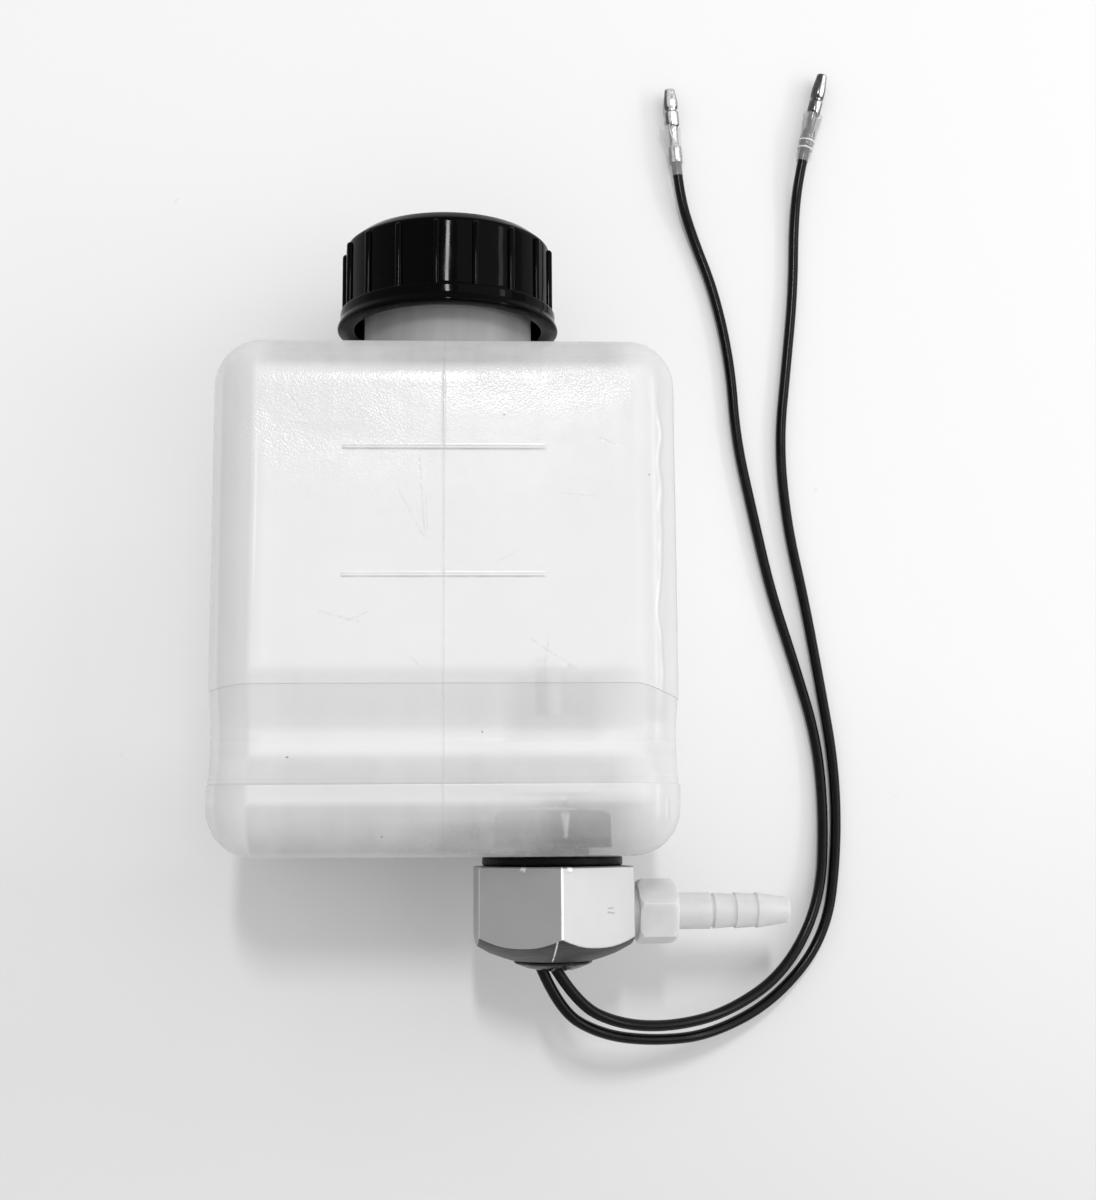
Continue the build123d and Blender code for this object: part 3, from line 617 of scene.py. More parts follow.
def bottle_rings(inset, heights):
    """Rings of (points, share of painted shade) from the middle of the base to the foot of the neck."""
    columns = body_columns()
    radius = BODY_ROUND - inset
    flat_x, flat_z = HALF_W - BODY_ROUND, HALF_D - BODY_ROUND
    outer = inset == 0.0
    rings = []

    def ring(y, tuck, share=1.0):
        points = []
        for sx, sz, angle in columns:
            turn = radians(angle)
            nx, nz = cos(turn), sin(turn)
            lean = abs(sin(2.0 * turn)) if angle % 90.0 else 0.0
            drop = 3.2 * smoothstep(0.0, 1.1, nx) + 1.1 * smoothstep(0.0, 1.1, -nx) if outer else 0.0
            level = y - drop * smoothstep(-33.0, -24.0, y) * smoothstep(-14.0, -21.0, y)
            face = groove_depth(y, FACE_GROOVE)
            side = groove_depth(y, SIDE_GROOVE)
            away = radius - tuck
            x = share * flat_x * sx + (away - side) * nx
            z = share * flat_z * sz + (away - face) * nz
            if outer and share > 0.99 and away > 0.5 and nz >= -0.99:
                pull = waviness(x, level, z, lean) * (away / radius)
                proud = front_relief(x, y) if nz > 0.99 and tuck < 0.01 else 0.0
                x -= pull * nx
                z -= (pull - proud) * nz
            points.append((x, level, z + AXIS_Z))
        return points

    # Each ring's second value is its share of painted shade: the base rounding, the groove's slopes and the shoulder
    # are painted greyer
    for share in (0.25, 0.5, 0.75):
        rings.append((ring(BASE_Y + inset, radius, share), 0.5))
    quarter = [radians(angle) for angle in steps(0.0, 90.0, 9)]
    for turn in quarter:
        y = BASE_Y + inset + radius * (1.0 - cos(turn))
        rings.append((ring(y, radius * (1.0 - sin(turn))), 0.62 + 0.12 * cos(turn)))
    for y in heights:
        rings.append((ring(y, 0.0), flank_share(y)))
    for turn in [radians(90.0)] + quarter[::-1]:
        y = SHOULDER_Y - inset - radius * (1.0 - cos(turn))
        rings.append((ring(y, radius * (1.0 - sin(turn))), 0.74 * smoothstep(0.14, 0.36, cos(turn))))
    return rings


def shade(value, angle, x, y):
    """Share of painted shade at one point, as if through thicker wall, from the ring's share and the direction of its
    column, with painted shadow by the seal fitting and along the left edge.
    """
    flat_x = HALF_W - BODY_ROUND
    # Painted shadow of the fitting on the base near the seal
    seal_shadow = 0.36 * smoothstep(BASE_Y + 12.0, BASE_Y + 5.0, y) * smoothstep(34.0, 6.0, abs(x - 16.0))
    weight = 0.5
    if abs(angle) == 90.0:
        weight = 1.0 - 0.5 * smoothstep(flat_x - 5.0, flat_x, abs(x)) * (y > 0.0 or x > 0.0)
        # Front faces are painted a little greyer towards the shoulder
        value = max(value, 0.24 * smoothstep(26.0, 48.0, y))
    weight += (0.62 - weight) * smoothstep(SHOULDER_Y - 3.0, SHOULDER_Y - 0.2, y)
    weight += (0.60 - weight) * smoothstep(BASE_Y + 1.4, BASE_Y + 0.1, y)
    tall = smoothstep(BASE_Y + 0.5, BASE_Y + 7.0, y) * smoothstep(SHOULDER_Y - 0.5, SHOULDER_Y - 7.0, y)
    # Painted shade just inside the left long edge
    edge = 0.13 * smoothstep(flat_x - 2.0, flat_x, -x) * (angle == 90.0)
    return max(min(1.0, value * weight + seal_shadow), column_share(angle) * tall, edge * tall)


def make_bottle(skin, lining):
    """Body, strap groove, level marks, neck and hollow in one blown shell."""
    outer_y = [-50.5, -49.0, -47.6, -46.4, -45.8, -45.45, -45.31, -45.29, -45.1, -44.5, -43.4, -42.0, -40.6, -39.4,
               -38.75, -38.45, -38.2, -37.4, -36.2, -35.0, -33.8, -33.1, -32.8, -32.5, -31.6, -30.2, -28.6, -27.0,
               -25.4, -24.0, -23.0, -22.5, -22.3, -22.21, -22.19, -22.0, -21.6, -21.0, -20.2, -19.2, -17.8, -16.0]
    plain = [-13.5 + 2.6 * k for k in range(25)]
    plain = [y for y in plain if y < 50.0 and min(abs(y - m) for m in MARKS_Y) > 1.4]
    for mark in MARKS_Y:
        plain += [mark + d for d in (-0.9, -0.46, -0.37, -0.28, -0.16, 0.0, 0.16, 0.28, 0.37, 0.46, 0.9)]
    outer_y += sorted(plain) + [50.5]
    inner_y = [-50.5, -47.5, -45.4, -44.0, -42.0, -40.0, -38.6, -37.5, -35.5, -33.5, -32.5, -30.5, -28.0, -25.5, -23.0,
               -22.1, -20.0] + [-14.0 + 6.4 * k for k in range(10)] + [50.5]
    angles = [angle for _, _, angle in body_columns()]
    columns = len(angles)
    outer = bottle_rings(0.0, outer_y)
    inner = bottle_rings(WALL, inner_y)

    def circle(points, radius, y):
        turns = [atan2(z - AXIS_Z, x) for x, _, z in points]
        return [(radius * cos(turn), y, AXIS_Z + radius * sin(turn)) for turn in turns]

    def between(points, round_points, share):
        return [tuple(a + (b - a) * share for a, b in zip(p, q)) for p, q in zip(points, round_points)]

    def neck(rings, root_r, y, profile):
        last = rings[-1][0]
        foot = circle(last, root_r, y)
        # The neck rings carry full painted shade, standing in for the cap's shadow
        for share in (0.35, 0.7):
            rings.append((between(last, foot, share), 0.7))
        for radius, height in profile:
            rings.append((circle(last, radius, height), 2.0))

    fillet = [(NECK_R + 1.2 - 1.2 * sin(radians(a)), SHOULDER_Y + 1.2 - 1.2 * cos(radians(a)))
              for a in (0, 22, 45, 68, 90)]
    outside = fillet + [(NECK_R, y) for y in (66.0, 70.0, 78.0, 86.0, NECK_TOP_Y - 0.5)]
    outside += [(NECK_R - 0.2, NECK_TOP_Y - 0.12), (NECK_R - 0.5, NECK_TOP_Y)]
    neck(outer, NECK_R + 1.2, SHOULDER_Y, outside)
    bore = NECK_R - 2.05
    inside = [(bore + 0.2, SHOULDER_Y - WALL + 0.3), (bore, SHOULDER_Y - WALL + 1.0), (bore, 68.0), (bore, 78.0),
              (bore, 88.0), (bore, NECK_TOP_Y - 0.4), (bore + 0.3, NECK_TOP_Y)]
    neck(inner, bore + 0.8, SHOULDER_Y - WALL, inside)
    rings = outer + inner[::-1]
    points = [p for ring, _ in rings for p in ring]
    wall_shade = [value for ring, value in rings for _ in ring]
    faces = joined(numbered(len(rings), columns))
    kinds = [int(k >= len(outer)) for k in range(len(rings) - 1) for _ in range(columns)]
    last = (len(rings) - 1) * columns
    for c in range(columns):
        d = (c + 1) % columns
        faces += [(len(points), d, c), (last + c, last + d, len(points) + 1)]
        kinds += [0, 1]
    wall_shade = [shade(value, angles[i % columns], *points[i][:2]) for i, value in enumerate(wall_shade)]
    wall_shade += [0.3, 0.0]  # the two middles of the base, outside and inside
    points += [(0.0, BASE_Y, AXIS_Z), (0.0, BASE_Y + WALL, AXIS_Z)]
    mesh = mesh_from("bottle_shell", points, faces, {"wall_shade": wall_shade}, kinds)
    bottle = make_object("bottle_shell", mesh, skin, lining)
    drill = stud_drill()
    cut = bottle.modifiers.new("stud_hole", "BOOLEAN")
    cut.operation = "DIFFERENCE"
    cut.solver = "EXACT"
    cut.object = drill
    settle(bottle)
    bpy.data.objects.remove(drill)
    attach(bottle, "reservoir")
    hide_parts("bottle")


def stud_drill():
    """Cylinder that opens the base for the stud."""
    place = Matrix.Translation((FITTING_X * MM, BASE_Y * MM, AXIS_Z * MM)) @ Matrix.Rotation(radians(90.0), 4, "X")
    form = bmesh.new()
    bmesh.ops.create_cone(form, cap_ends=True, segments=64, radius1=STUD_HOLE_R * MM, radius2=STUD_HOLE_R * MM,
                          depth=8.0 * MM, matrix=place)
    mesh = bpy.data.meshes.new("stud_drill")
    form.to_mesh(mesh)
    form.free()
    return make_object("stud_drill", mesh)


def joined(rings, closed=False, wrapped=True):
    """Faces between rings of point numbers, with triangles where a ring is one point repeated."""
    faces = []
    for low, high in zip(rings, rings[1:] + (rings[:1] if closed else [])):
        for k in range(len(low) - (not wrapped)):
            after = (k + 1) % len(low)
            corners = tuple(dict.fromkeys((low[k], low[after], high[after], high[k])))
            if len(corners) > 2:
                faces.append(corners)
    return faces


def numbered(count, width):
    """Rings of point numbers, given how many rings there are and how many points each has."""
    return [range(k * width, (k + 1) * width) for k in range(count)]


def lathe(profile, segments, axis_x=0.0):
    """Closed turning about a line along Y from (radius, y) pairs; a radius of 0 makes a pole."""
    points, rows = [], []
    for radius, y in profile:
        if radius == 0:
            rows.append([len(points)] * segments)
            points.append((axis_x, y, AXIS_Z))
            continue
        rows.append(list(range(len(points), len(points) + segments)))
        for k in range(segments):
            turn = 2.0 * pi * k / segments
            points.append((axis_x + radius * sin(turn), y, AXIS_Z + radius * cos(turn)))
    return points, joined(rows, profile[0][0] != 0)


def rib_mesh():
    """One grip rib of the cap with a rounded upper end, about the cap's own axis."""
    radius, low, top = 0.95, CAP_RIM_Y + 4.2, CAP_TOP_Y - 4.0
    angles = [radians(a) for a in range(-100, 101, 20)]
    stations = [(low, 1.0), (top, 1.0)]
    stations += [(top + radius * sin(radians(a)), cos(radians(a))) for a in (22, 45, 66, 82)]
    points = [(radius * share * sin(a), y, CAP_WALL_R + 0.02 + radius * share * cos(a))
              for y, share in stations for a in angles]
    return mesh_from("cap_rib", points, joined(numbered(len(stations), len(angles)), wrapped=False))


def rib_tree(finish):
    """Geometry nodes that set copies of one rib round the cap."""
    tree = bpy.data.node_groups.new("ribs_round_cap", "GeometryNodeTree")
    sides = tree.interface
    sides.new_socket("Rib", in_out="INPUT", socket_type="NodeSocketGeometry")
    names = {}
    for label, kind in (("Rib count", "NodeSocketInt"), ("First rib angle", "NodeSocketFloat"),
                        ("Axis height", "NodeSocketFloat")):
        names[label] = sides.new_socket(label, in_out="INPUT", socket_type=kind).identifier
    sides.new_socket("Ribs", in_out="OUTPUT", socket_type="NodeSocketGeometry")
    add, link = tree.nodes.new, tree.links.new
    given, result = add("NodeGroupInput"), add("NodeGroupOutput")
    points, copies = add("GeometryNodePoints"), add("GeometryNodeInstanceOnPoints")
    place, spin, index = add("ShaderNodeCombineXYZ"), add("ShaderNodeCombineXYZ"), add("GeometryNodeInputIndex")
    step, angle, turned = add("ShaderNodeMath"), add("ShaderNodeMath"), add("ShaderNodeMath")
    realize, coat = add("GeometryNodeRealizeInstances"), add("GeometryNodeSetMaterial")
    step.operation, angle.operation, turned.operation = "DIVIDE", "MULTIPLY", "ADD"
    step.inputs[0].default_value = 2.0 * pi
    link(given.outputs["Rib count"], step.inputs[1])
    link(index.outputs[0], angle.inputs[0])
    link(step.outputs[0], angle.inputs[1])
    link(angle.outputs[0], turned.inputs[0])
    link(given.outputs["First rib angle"], turned.inputs[1])
    link(turned.outputs[0], spin.inputs["Y"])
    link(given.outputs["Axis height"], place.inputs["Z"])
    link(given.outputs["Rib count"], points.inputs["Count"])
    link(place.outputs[0], points.inputs["Position"])
    link(points.outputs[0], copies.inputs["Points"])
    link(given.outputs["Rib"], copies.inputs["Instance"])
    link(spin.outputs[0], copies.inputs["Rotation"])
    link(copies.outputs[0], realize.inputs[0])
    link(realize.outputs[0], coat.inputs["Geometry"])
    coat.inputs["Material"].default_value = finish
    link(coat.outputs[0], result.inputs[0])
    return tree, names


def make_cap(finish):
    """Turned shell, grip ribs and the inner thread in one piece."""
    from_top = [(0.0, -0.5), (1.4, -0.5), (1.7, -0.35), (2.4, -0.35), (19.6, -0.35), (20.2, -0.3), (20.6, -0.04),
                (21.0, 0.0), (23.0, 0.0), (23.45, -0.1), (23.8, -0.35), (26.1, -2.2), (26.4, -2.6),
                (CAP_WALL_R, -3.1), (CAP_WALL_R, -3.6), (CAP_WALL_R, -8.0)]
    from_rim = [(CAP_WALL_R, 5.8), (CAP_WALL_R, 5.3), (CAP_WALL_R + 0.08, 5.02), (CAP_WALL_R + 0.3, 4.9),
                (27.3, 4.85), (27.62, 4.76), (27.80, 4.58), (27.84, 4.3), (27.84, 3.9), (27.84, 2.7), (27.84, 2.3),
                (27.92, 2.0), (28.36, 1.2), (28.48, 0.85), (28.54, 0.5), (28.45, 0.18), (28.2, 0.0), (26.4, 0.0),
                (24.7, 0.0), (24.3, 0.15), (CAP_BORE_R, 0.6)]
    profile = [(radius, CAP_TOP_Y + off) for radius, off in from_top]
    profile += [(radius, CAP_RIM_Y + off) for radius, off in from_rim]
    profile += [(CAP_BORE_R, 80.0), (CAP_BORE_R, 88.0), (CAP_BORE_R, 94.0), (CAP_BORE_R - 0.4, 94.4), (0.0, 94.4)]
    shell = mesh_from("cap_shell", *lathe(profile, 192))
    rib = make_object("cap_rib", rib_mesh())
    tree, names = rib_tree(finish)
    ring = rib.modifiers.new("ribs", "NODES")
    ring.node_group = tree
    ring[names["Rib count"]] = CAP_RIBS
    ring[names["First rib angle"]] = radians(FIRST_RIB)
    ring[names["Axis height"]] = AXIS_Z * MM
    ribs = evaluated(rib)
    bpy.data.objects.remove(rib)
    thread = helix_mesh("cap_thread", CAP_BORE_R + 0.1, 22.25, 1.9, 0.9, 84.3, 0.9, 36.0)
    form = bmesh.new()
    for part in (shell, ribs, thread):
        form.from_mesh(part)
    mesh = bpy.data.meshes.new("cap_body")
    smooth_into(mesh, form)
    cap = make_object("cap_body", mesh, finish)
    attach(cap, "cap")
    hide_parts("cap")


def helix_mesh(name, root_r, crest_r, base, crest, start_y, turns, first):
    """One thread ridge wound about the bottle axis."""
    count = int(72 * turns)
    points = []
    for k in range(count + 1):
        share = k / count
        turn = radians(first + 360.0 * turns * share)
        fade = smoothstep(0.0, 0.06, share) * smoothstep(1.0, 0.94, share)
        tip = root_r + (crest_r - root_r) * fade
        y = start_y + THREAD_PITCH * turns * share
        for radius, off in ((root_r, -base / 2), (tip, -crest / 2), (tip, crest / 2), (root_r, base / 2)):
            points.append((radius * sin(turn), y + off, AXIS_Z + radius * cos(turn)))
    ends = [(3, 2, 1, 0), tuple(4 * count + c for c in range(4))]
    return mesh_from(name, points, joined(numbered(count + 1, 4)) + ends)


def hex_edge(angle):
    """Distance of the hexagon's edge from its axis, with the corners a little rounded off by wear."""
    off = (angle + HEX_TURN) % 60.0
    off = min(off, 60.0 - off)
    return min(HEX_AF / 2 / cos(radians(off)), HEX_R - 0.10)


def lower_end_level(radius):
    """Height of the turned lower end at a radius."""
    for (wide, y_wide), (narrow, y_narrow) in zip(LOWER_END, LOWER_END[1:]):
        if radius >= narrow:
            return y_narrow + (y_wide - y_narrow) * (radius - narrow) / (wide - narrow)
    return CONE_END_Y


def make_hex_housing(finish):
    """Hexagon with its turned lower end, cup and hollow stud."""
    angles = [corner + off for corner in range(0, 360, 60)
              for off in (-2.4, -0.85, -0.44, 0.44, 0.85, 2.4, 6.0, 12.0, 18.0, 24.0, 30.0, 36.0, 42.0, 48.0, 54.0)]
    angles = [30.0 - HEX_TURN + angle for angle in angles]
    # Corner lines carry a painted highlight, partly wear, full on the upper corner and fainter on the rest
    wear_and_painted_light = [(1.0 if 80.0 < angle < 93.0 else 0.35) * (abs((angle + HEX_TURN) % 60.0 - 30.0) < 0.6) for angle in angles]
    rows = [(8.0, STUD_END_Y), (8.7, STUD_END_Y), (9.0, STUD_END_Y - 0.4), (9.0, -57.0), (9.0, SEAL_Y), (14.0, SEAL_Y)]
    levels = [[(radius, y, 0.0) for _ in angles] for radius, y in rows]
    for tuck, y in ((0.60, SEAL_Y), (0.34, SEAL_Y - 0.03), (0.10, SEAL_Y - 0.18), (0.0, SEAL_Y - 0.45), (0.0, -70.0),
                    (0.0, PORT_Y)):
        levels.append([(hex_edge(a) - tuck, y, 0.0) for a in angles])
    for tuck, lift, shaded_cone in ((0.0, 0.30, 0.0), (0.02, 0.10, 0.0), (0.10, -0.06, 1.0)):
        levels.append([(hex_edge(a) - tuck, lower_end_level(hex_edge(a)) + lift, shaded_cone) for a in angles])
    for share in (0.05, 0.12, 0.22, 0.34, 0.46, 0.58, 0.70, 0.82, 0.92, 1.0):
        radii = [hex_edge(a) + (9.8 - hex_edge(a)) * share for a in angles]
        levels.append([(radius, lower_end_level(radius) - 0.05 * (share < 1.0), 1.0) for radius in radii])
    for radius, y in ((9.6, CONE_END_Y), (CUP_R, CONE_END_Y), (CUP_R, CUP_Y), (STEM_R + 0.05, CUP_Y),
                      (STEM_R + 0.05, -62.0), (6.6, -62.0), (6.6, STUD_END_Y)):
        levels.append([(radius, y, 1.0) for _ in angles])
    points, shaded_cones, wear_and_glints = [], [], []
    for level in levels:
        for angle, wear, (radius, y, shaded_cone) in zip(angles, wear_and_painted_light, level):
            turn = radians(angle)
            points.append((FITTING_X + radius * cos(turn), y, AXIS_Z + radius * sin(turn)))
            shaded_cones.append(shaded_cone)
            wear_and_glints.append(wear * (1.0 - shaded_cone))
    faces = joined(numbered(len(levels), len(angles)), closed=True)
    mesh = mesh_from("hex_housing_turned", points, faces, {"shaded_cone": shaded_cones, "wear_and_painted_light": wear_and_glints})
    mesh.set_sharp_from_angle(angle=radians(38.0))
    housing = make_object("hex_housing_turned", mesh, finish)
    even_shading(housing)
    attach(housing, "reservoir")
    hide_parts("hex_housing")


def make_potting(finish):
    """Sealing compound that has run over the rim of the cup and dried with a ragged edge."""
    rows = [(0.0, CUP_Y), (CUP_R - 0.05, CUP_Y)]
    rows += [(radius, CONE_END_Y - drop) for radius, drop in (
        (CUP_R - 0.05, 0.02), (9.5, 0.06), (9.75, 0.30), (9.3, 0.75), (8.2, 1.2), (6.6, 1.75), (4.8, 2.2))]
    rows += [(2.6, POT_END_Y + 0.1), (0.0, POT_END_Y)]
    points, faces = lathe(rows, 72, FITTING_X)
    moved = []
    for x, y, z in points:
        radius = hypot(x - FITTING_X, z - AXIS_Z)
        if y < CONE_END_Y - 0.01 and radius > 0.5:
            rough = noise.noise(Vector((x * 0.45, y * 0.5, z * 0.45)))
            share = 1.0 + 0.035 * rough + 0.02 * noise.noise(Vector((x * 1.7, y, z * 1.7)))
            x, z = FITTING_X + (x - FITTING_X) * share, AXIS_Z + (z - AXIS_Z) * share
            y += 0.35 * rough * (radius < 9.2)
        moved.append((x, y, z))
    blob = mesh_from("sealing_blob", moved, faces)
    form = bmesh.new()
    form.from_mesh(blob)
    drip = bmesh.ops.create_icosphere(form, subdivisions=2, radius=0.7 * MM)
    for vert in drip["verts"]:
        vert.co.y *= 1.5
        vert.co += Vector(DRIP_AT) * MM
    smooth_into(blob, form)
    potting = make_object("sealing_blob", blob, finish)
    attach(potting, "reservoir")
    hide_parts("potting")


def tail_rows(route, rows, bend, segments=40):
    """Closed skin round a terminal's axis, from (distance from tip, half width, half height, side shift) rows."""
    end, before = Vector(route[-1]) / MM, Vector(route[-2]) / MM
    out = Vector((end.x - before.x, end.y - before.y, 0.0)).normalized()
    side = Vector((out.y, -out.x, 0.0))
    tip = end + out * WIRE_IN
    points, rings = [], []
    for along, wide, high, shift in rows:
        if wide == 0.0:
            rings.append([len(points)] * segments)
            points.append(tip - out * along + side * shift)
            continue
        rings.append(list(range(len(points), len(points) + segments)))
        for k in range(segments):
            turn = 2.0 * pi * k / segments
            further, scale = bend(along, turn)
            point = tip - out * (along + further) + side * (shift + wide * scale * sin(turn))
            points.append(point + Vector((0.0, 0.0, high * scale * cos(turn))))
    return points, joined(rings, rows[0][1] != 0.0)


def make_terminal(side, route, finish, seam):
    """Rolled bullet terminal: hollow nose, ring groove, barrel, waist and crimped grip."""
    profile = [(1.3, 0.0), (1.2, 0.94), (0.12, 0.98), (0.0, 1.06), (0.0, 1.30), (0.06, 1.42), (0.30, 1.47),
               (1.0, 1.56), (2.4, 1.79), (3.4, 1.94), (4.3, 1.96), (5.2, 1.93), (5.7, 1.80), (5.95, 1.52), (6.3, 1.46),
               (6.6, 1.50), (6.85, 1.78), (7.05, 1.88), (7.3, 1.90), (8.8, 1.90), (10.3, 1.90), (10.6, 1.84),
               (10.75, 1.60), (11.2, 1.34), (12.2, 1.24), (14.2, 1.22), (16.4, 1.24), (17.0, 1.42), (17.5, 1.74),
               (17.8, 1.84), (19.0, 1.86), (20.5, 1.86), (21.9, 1.86), (22.2, 1.80), (22.3, 1.66), (22.2, 1.48),
               (21.5, 1.45), (19.0, 1.45), (18.9, 0.0)]

    def bend(along, turn):
        near = remainder(turn - seam, 2.0 * pi)
        scale, further = 1.0, 0.0
        if side == "outer":
            further = min(0.25 * along, 1.6 - 0.07 * max(0.0, along - 6.4), 0.2 * max(0.0, 17.0 - along))
        if 17.2 < along <= 22.3:
            scale = 1.0 - 0.16 * exp(-((near / 0.22) ** 2)) + 0.04 * cos(2.0 * turn)
        elif 10.2 < along < 11.5:
            further += 0.55 * cos(turn - seam - 0.9)
        elif 0.2 < along < 10.2:
            scale = 1.0 - 0.045 * exp(-((near / 0.10) ** 2))
        return further, scale

    rows = [(along, radius, radius, 0.0) for along, radius in profile]
    return closed_tail(side, route, finish, "terminal", rows, bend)


def make_sleeve(side, route, finish, lean):
    """Loose clear sleeve, flattened where it covers the terminal's waist and snug on the wire."""
    ring = 0.15 if side == "outer" else 0.0
    mouth = 2.85 if side == "outer" else 3.10
    outer = [(11.5, mouth, 2.25, lean), (12.2, mouth, 2.20, lean), (13.6, mouth - 0.16, 2.10, 0.8 * lean),
             (15.4, 2.45, 2.10, 0.5 * lean), (17.0, 2.30, 2.20, 0.2 * lean), (18.4, 2.26, 2.24, 0.0)]
    outer += [(along, radius, radius, 0.0) for along, radius in (
        (19.6, 2.24), (19.95, 2.24 + ring), (20.3, 2.23), (21.0, 2.22), (21.9, 2.16), (22.25, 2.13 + ring),
        (22.6, 2.08), (23.4, 1.90), (24.6, 1.76), (26.1, 1.72))]
    if side == "outer":
        outer = [(along + 0.9, wide, high, shift) for along, wide, high, shift in outer]
    inner = [(along, wide - 0.22, high - 0.22, shift) for along, wide, high, shift in reversed(outer)]

    def bend(along, turn):
        crease = noise.noise(Vector((along * 0.55, 3.0 * sin(turn), 3.0 * cos(turn) + 7.0 * lean)))
        return 0.25 * sin(3.0 * turn + lean) * (along < 11.8), 1.0 + 0.020 * crease * (along < 23.0)

    return closed_tail(side, route, finish, "sleeve", outer + inner, bend)


def closed_tail(side, route, finish, kind, rows, bend):
    """Mesh of one terminal or sleeve, with an attribute for the painted highlight along the terminal's upper side or
    on the sleeve's two rings.
    """
    points, faces = tail_rows(route, rows, bend)
    mesh = mesh_from(kind + "_" + side + "_formed", points, faces)
    lean, low, soft = (0.10, 0.60, 0.28) if side == "inner" else (0.55, 1.02, 0.11)
    out = (Vector(route[-1]) - Vector(route[-2])).normalized()
    tip = Vector(route[-1]) + out * WIRE_IN * MM
    painted_glint = []
    for vertex in mesh.vertices:
        along = (tip - vertex.co).dot(out) / MM
        # Painted highlight share: most where the skin faces up and a little to one side
        share = smoothstep(low, low + soft, vertex.normal.z + lean * vertex.normal.x)
        if kind == "sleeve":
            share = float(side == "outer" and min(abs(along - 20.85), abs(along - 23.15)) < 0.1)
        elif side == "outer" and along > 12.0:
            share *= 0.25
        painted_glint.append(share)
    mesh.attributes.new("painted_glint", "FLOAT", "POINT").data.foreach_set("value", painted_glint)
    mesh.set_sharp_from_angle(angle=radians(60.0))
    made = make_object(kind + "_" + side + "_formed", mesh, finish)
    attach(made, "reservoir")
    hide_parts(kind + "_" + side)
    return made


def wire_curve(name, route, finish):
    curve = bpy.data.curves.new(name, "CURVE")
    curve.dimensions = "3D"
    spline = curve.splines.new("NURBS")
    spline.points.add(len(route) - 1)
    for point, place in zip(spline.points, route):
        point.co = (*place, 1.0)
    spline.order_u = 3
    spline.use_endpoint_u = True
    spline.resolution_u = 12
    curve.bevel_depth = WIRE_R * MM
    curve.bevel_resolution = 6
    curve.use_fill_caps = True
    return make_object(name, curve, finish)


def make_floor(finish):
    mesh = bpy.data.meshes.new("floor")
    mesh.from_pydata([(x * FLOOR_REACH, y * FLOOR_REACH, 0.0) for x, y in ((-1, -1), (1, -1), (1, 1), (-1, 1))], [],
                     [(0, 1, 2, 3)])
    floor = make_object("floor", mesh, finish)
    floor.location.z = -0.0002


def area_light(name, place, target, size, power):
    lamp = bpy.data.lights.new(name, "AREA")
    lamp.shape = "RECTANGLE"
    lamp.size, lamp.size_y = size
    lamp.energy = power
    holder = make_object(name, lamp)
    holder.location = place
    holder.rotation_euler = (Vector(target) - Vector(place)).to_track_quat("-Z", "Y").to_euler()


def make_light():
    world = bpy.data.worlds.new("soft_room")
    world.use_nodes = True
    backing = world.node_tree.nodes["Background"]
    backing.inputs["Color"].default_value = (1.0, 1.0, 1.0, 1.0)
    backing.inputs["Strength"].default_value = 0.65
    bpy.context.scene.world = world
    area_light("ceiling_lamp", (0.03, 0.90, 2.25), (0.0, 0.02, 0.03), (0.13, 0.36), 16.0)
    area_light("window", (1.02, 0.02, 0.60), (0.0, 0.0, 0.05), (1.10, 0.11), 2.3)
    area_light("room", (1.90, 0.60, 2.00), (0.0, 0.0, 0.03), (3.0, 3.0), 25.5)


def make_camera():
    camera = bpy.data.cameras.new("camera")
    camera.sensor_width = 36.0
    camera.lens = 36.0 * 1673.8 / 1200.0
    camera.clip_start = 0.01
    holder = make_object("camera", camera)
    holder.location = (0.008936, -0.05774, 0.460198)
    holder.rotation_euler = Euler((radians(8.119), radians(-2.215), radians(-0.358)), "XYZ")
    bpy.context.scene.camera = holder


make_camera()

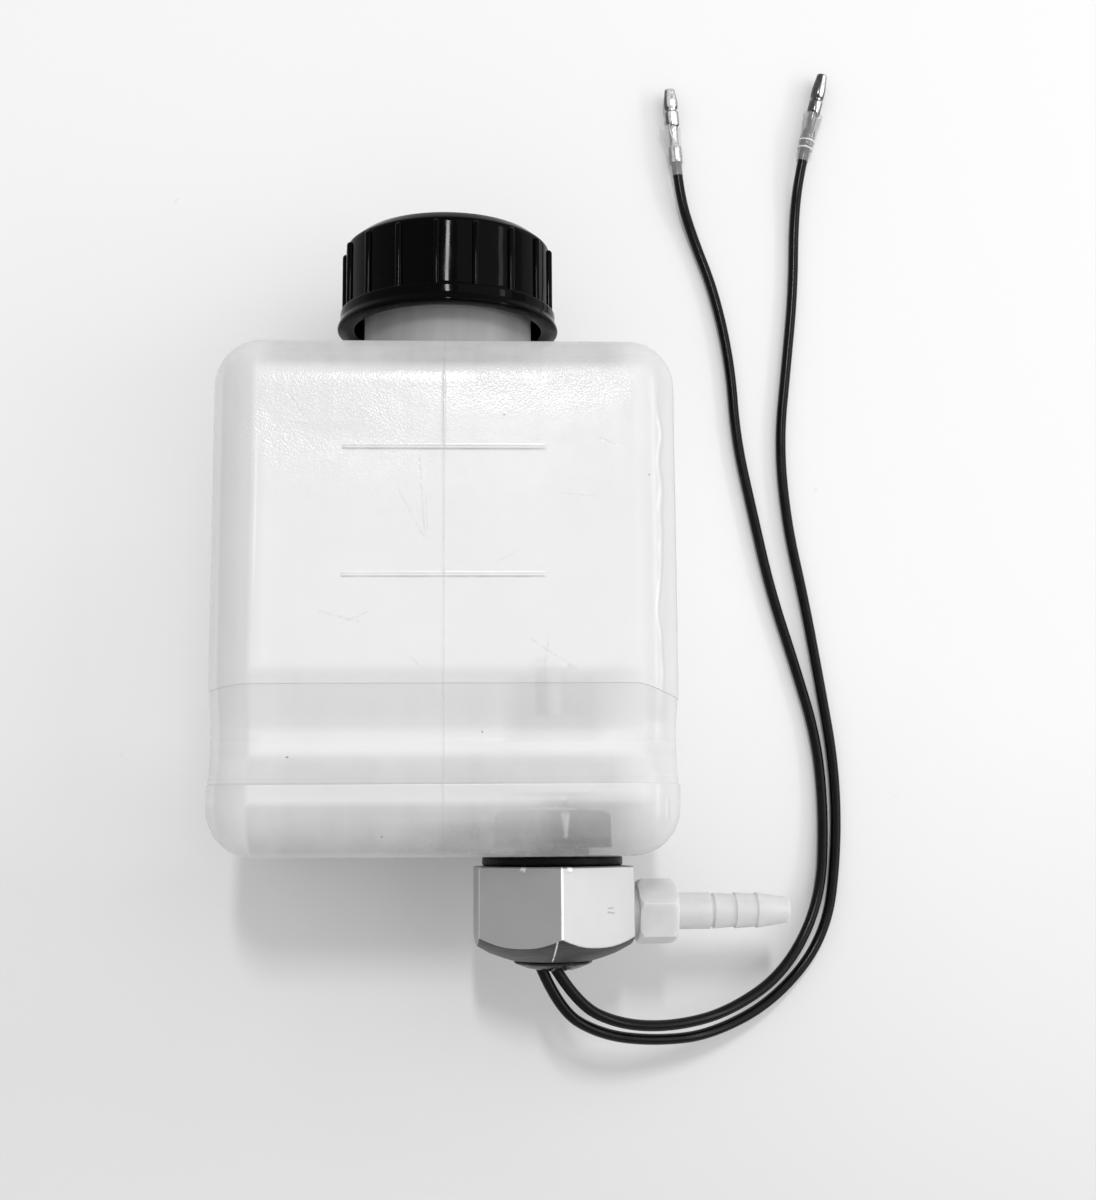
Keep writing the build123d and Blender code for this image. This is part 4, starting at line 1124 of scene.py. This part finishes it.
jacket = plain_plastic("wire_jacket", 0.0012, 0.003, 0.16, 0.26, sheen=0.15)
plated = plate_metal()
clear = plain_plastic("clear_sleeve_vinyl", 0.62, 0.72, 0.08, 0.16, 0.15)
smoky = ringed_vinyl()
for side, route, length, seam, lean, vinyl in (("outer", OUTER_ROUTE, 0.3376, 0.5, 0.10, smoky),
                                               ("inner", INNER_ROUTE, 0.3203, -0.4, -0.95, clear)):
    tail = [make_terminal(side, route, plated, seam), make_sleeve(side, route, vinyl, lean),
            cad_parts["strands_" + side]]
    wire = wire_curve("wire_" + side + "_jacket", route, jacket)
    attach(wire, "reservoir")
    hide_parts("wire_" + side)

make_light()
make_floor(floor_white())

make_bottle(bottle_skin(), bottle_lining())
make_cap(cap_plastic())
make_hex_housing(machined_metal())
make_potting(plain_plastic("sealing_resin", 0.004, 0.008, 0.12, 0.30, sheen=0.25))
softened("lock_nut", "reservoir", nut_metal(), 0.30)
nylon = plain_plastic("natural_nylon", 0.64, 0.70, 0.34, 0.46, 0.88, milky=0.9)
softened("barb_fitting", "reservoir", nylon, 0.45, 20.0)

finishes = {
    "cap_liner": plain_plastic("liner_foam", 0.78, 0.84, 0.7, 0.8),
    "base_seal": plain_plastic("seal_rubber", 0.002, 0.004, 0.35, 0.5, sheen=0.12),
    "inner_washer": plain_metal("washer_steel", 0.05, 0.09, 0.3, 0.45),
    "stem_tube": stem_plastic(),
    "float_body": plain_plastic("float_plastic", 0.50, 0.58, 0.5, 0.6),
    "float_magnet": plain_plastic("magnet_ceramic", 0.03, 0.05, 0.6, 0.7),
    "reed_capsule": plain_plastic("reed_glass", 0.7, 0.8, 0.05, 0.1, 0.4),
}
finishes |= dict.fromkeys(("stop_clip_low", "stop_clip_high"), plain_metal("spring_steel", 0.45, 0.55, 0.25, 0.4))
finishes |= dict.fromkeys(("reed_lead_low", "reed_lead_high", "strands_outer", "strands_inner"),
                          plain_metal("tinned_copper", 0.55, 0.65, 0.2, 0.35))
for node, finish in finishes.items():
    dress(node, finish)

bpy.context.scene.view_settings.view_transform = "Standard"
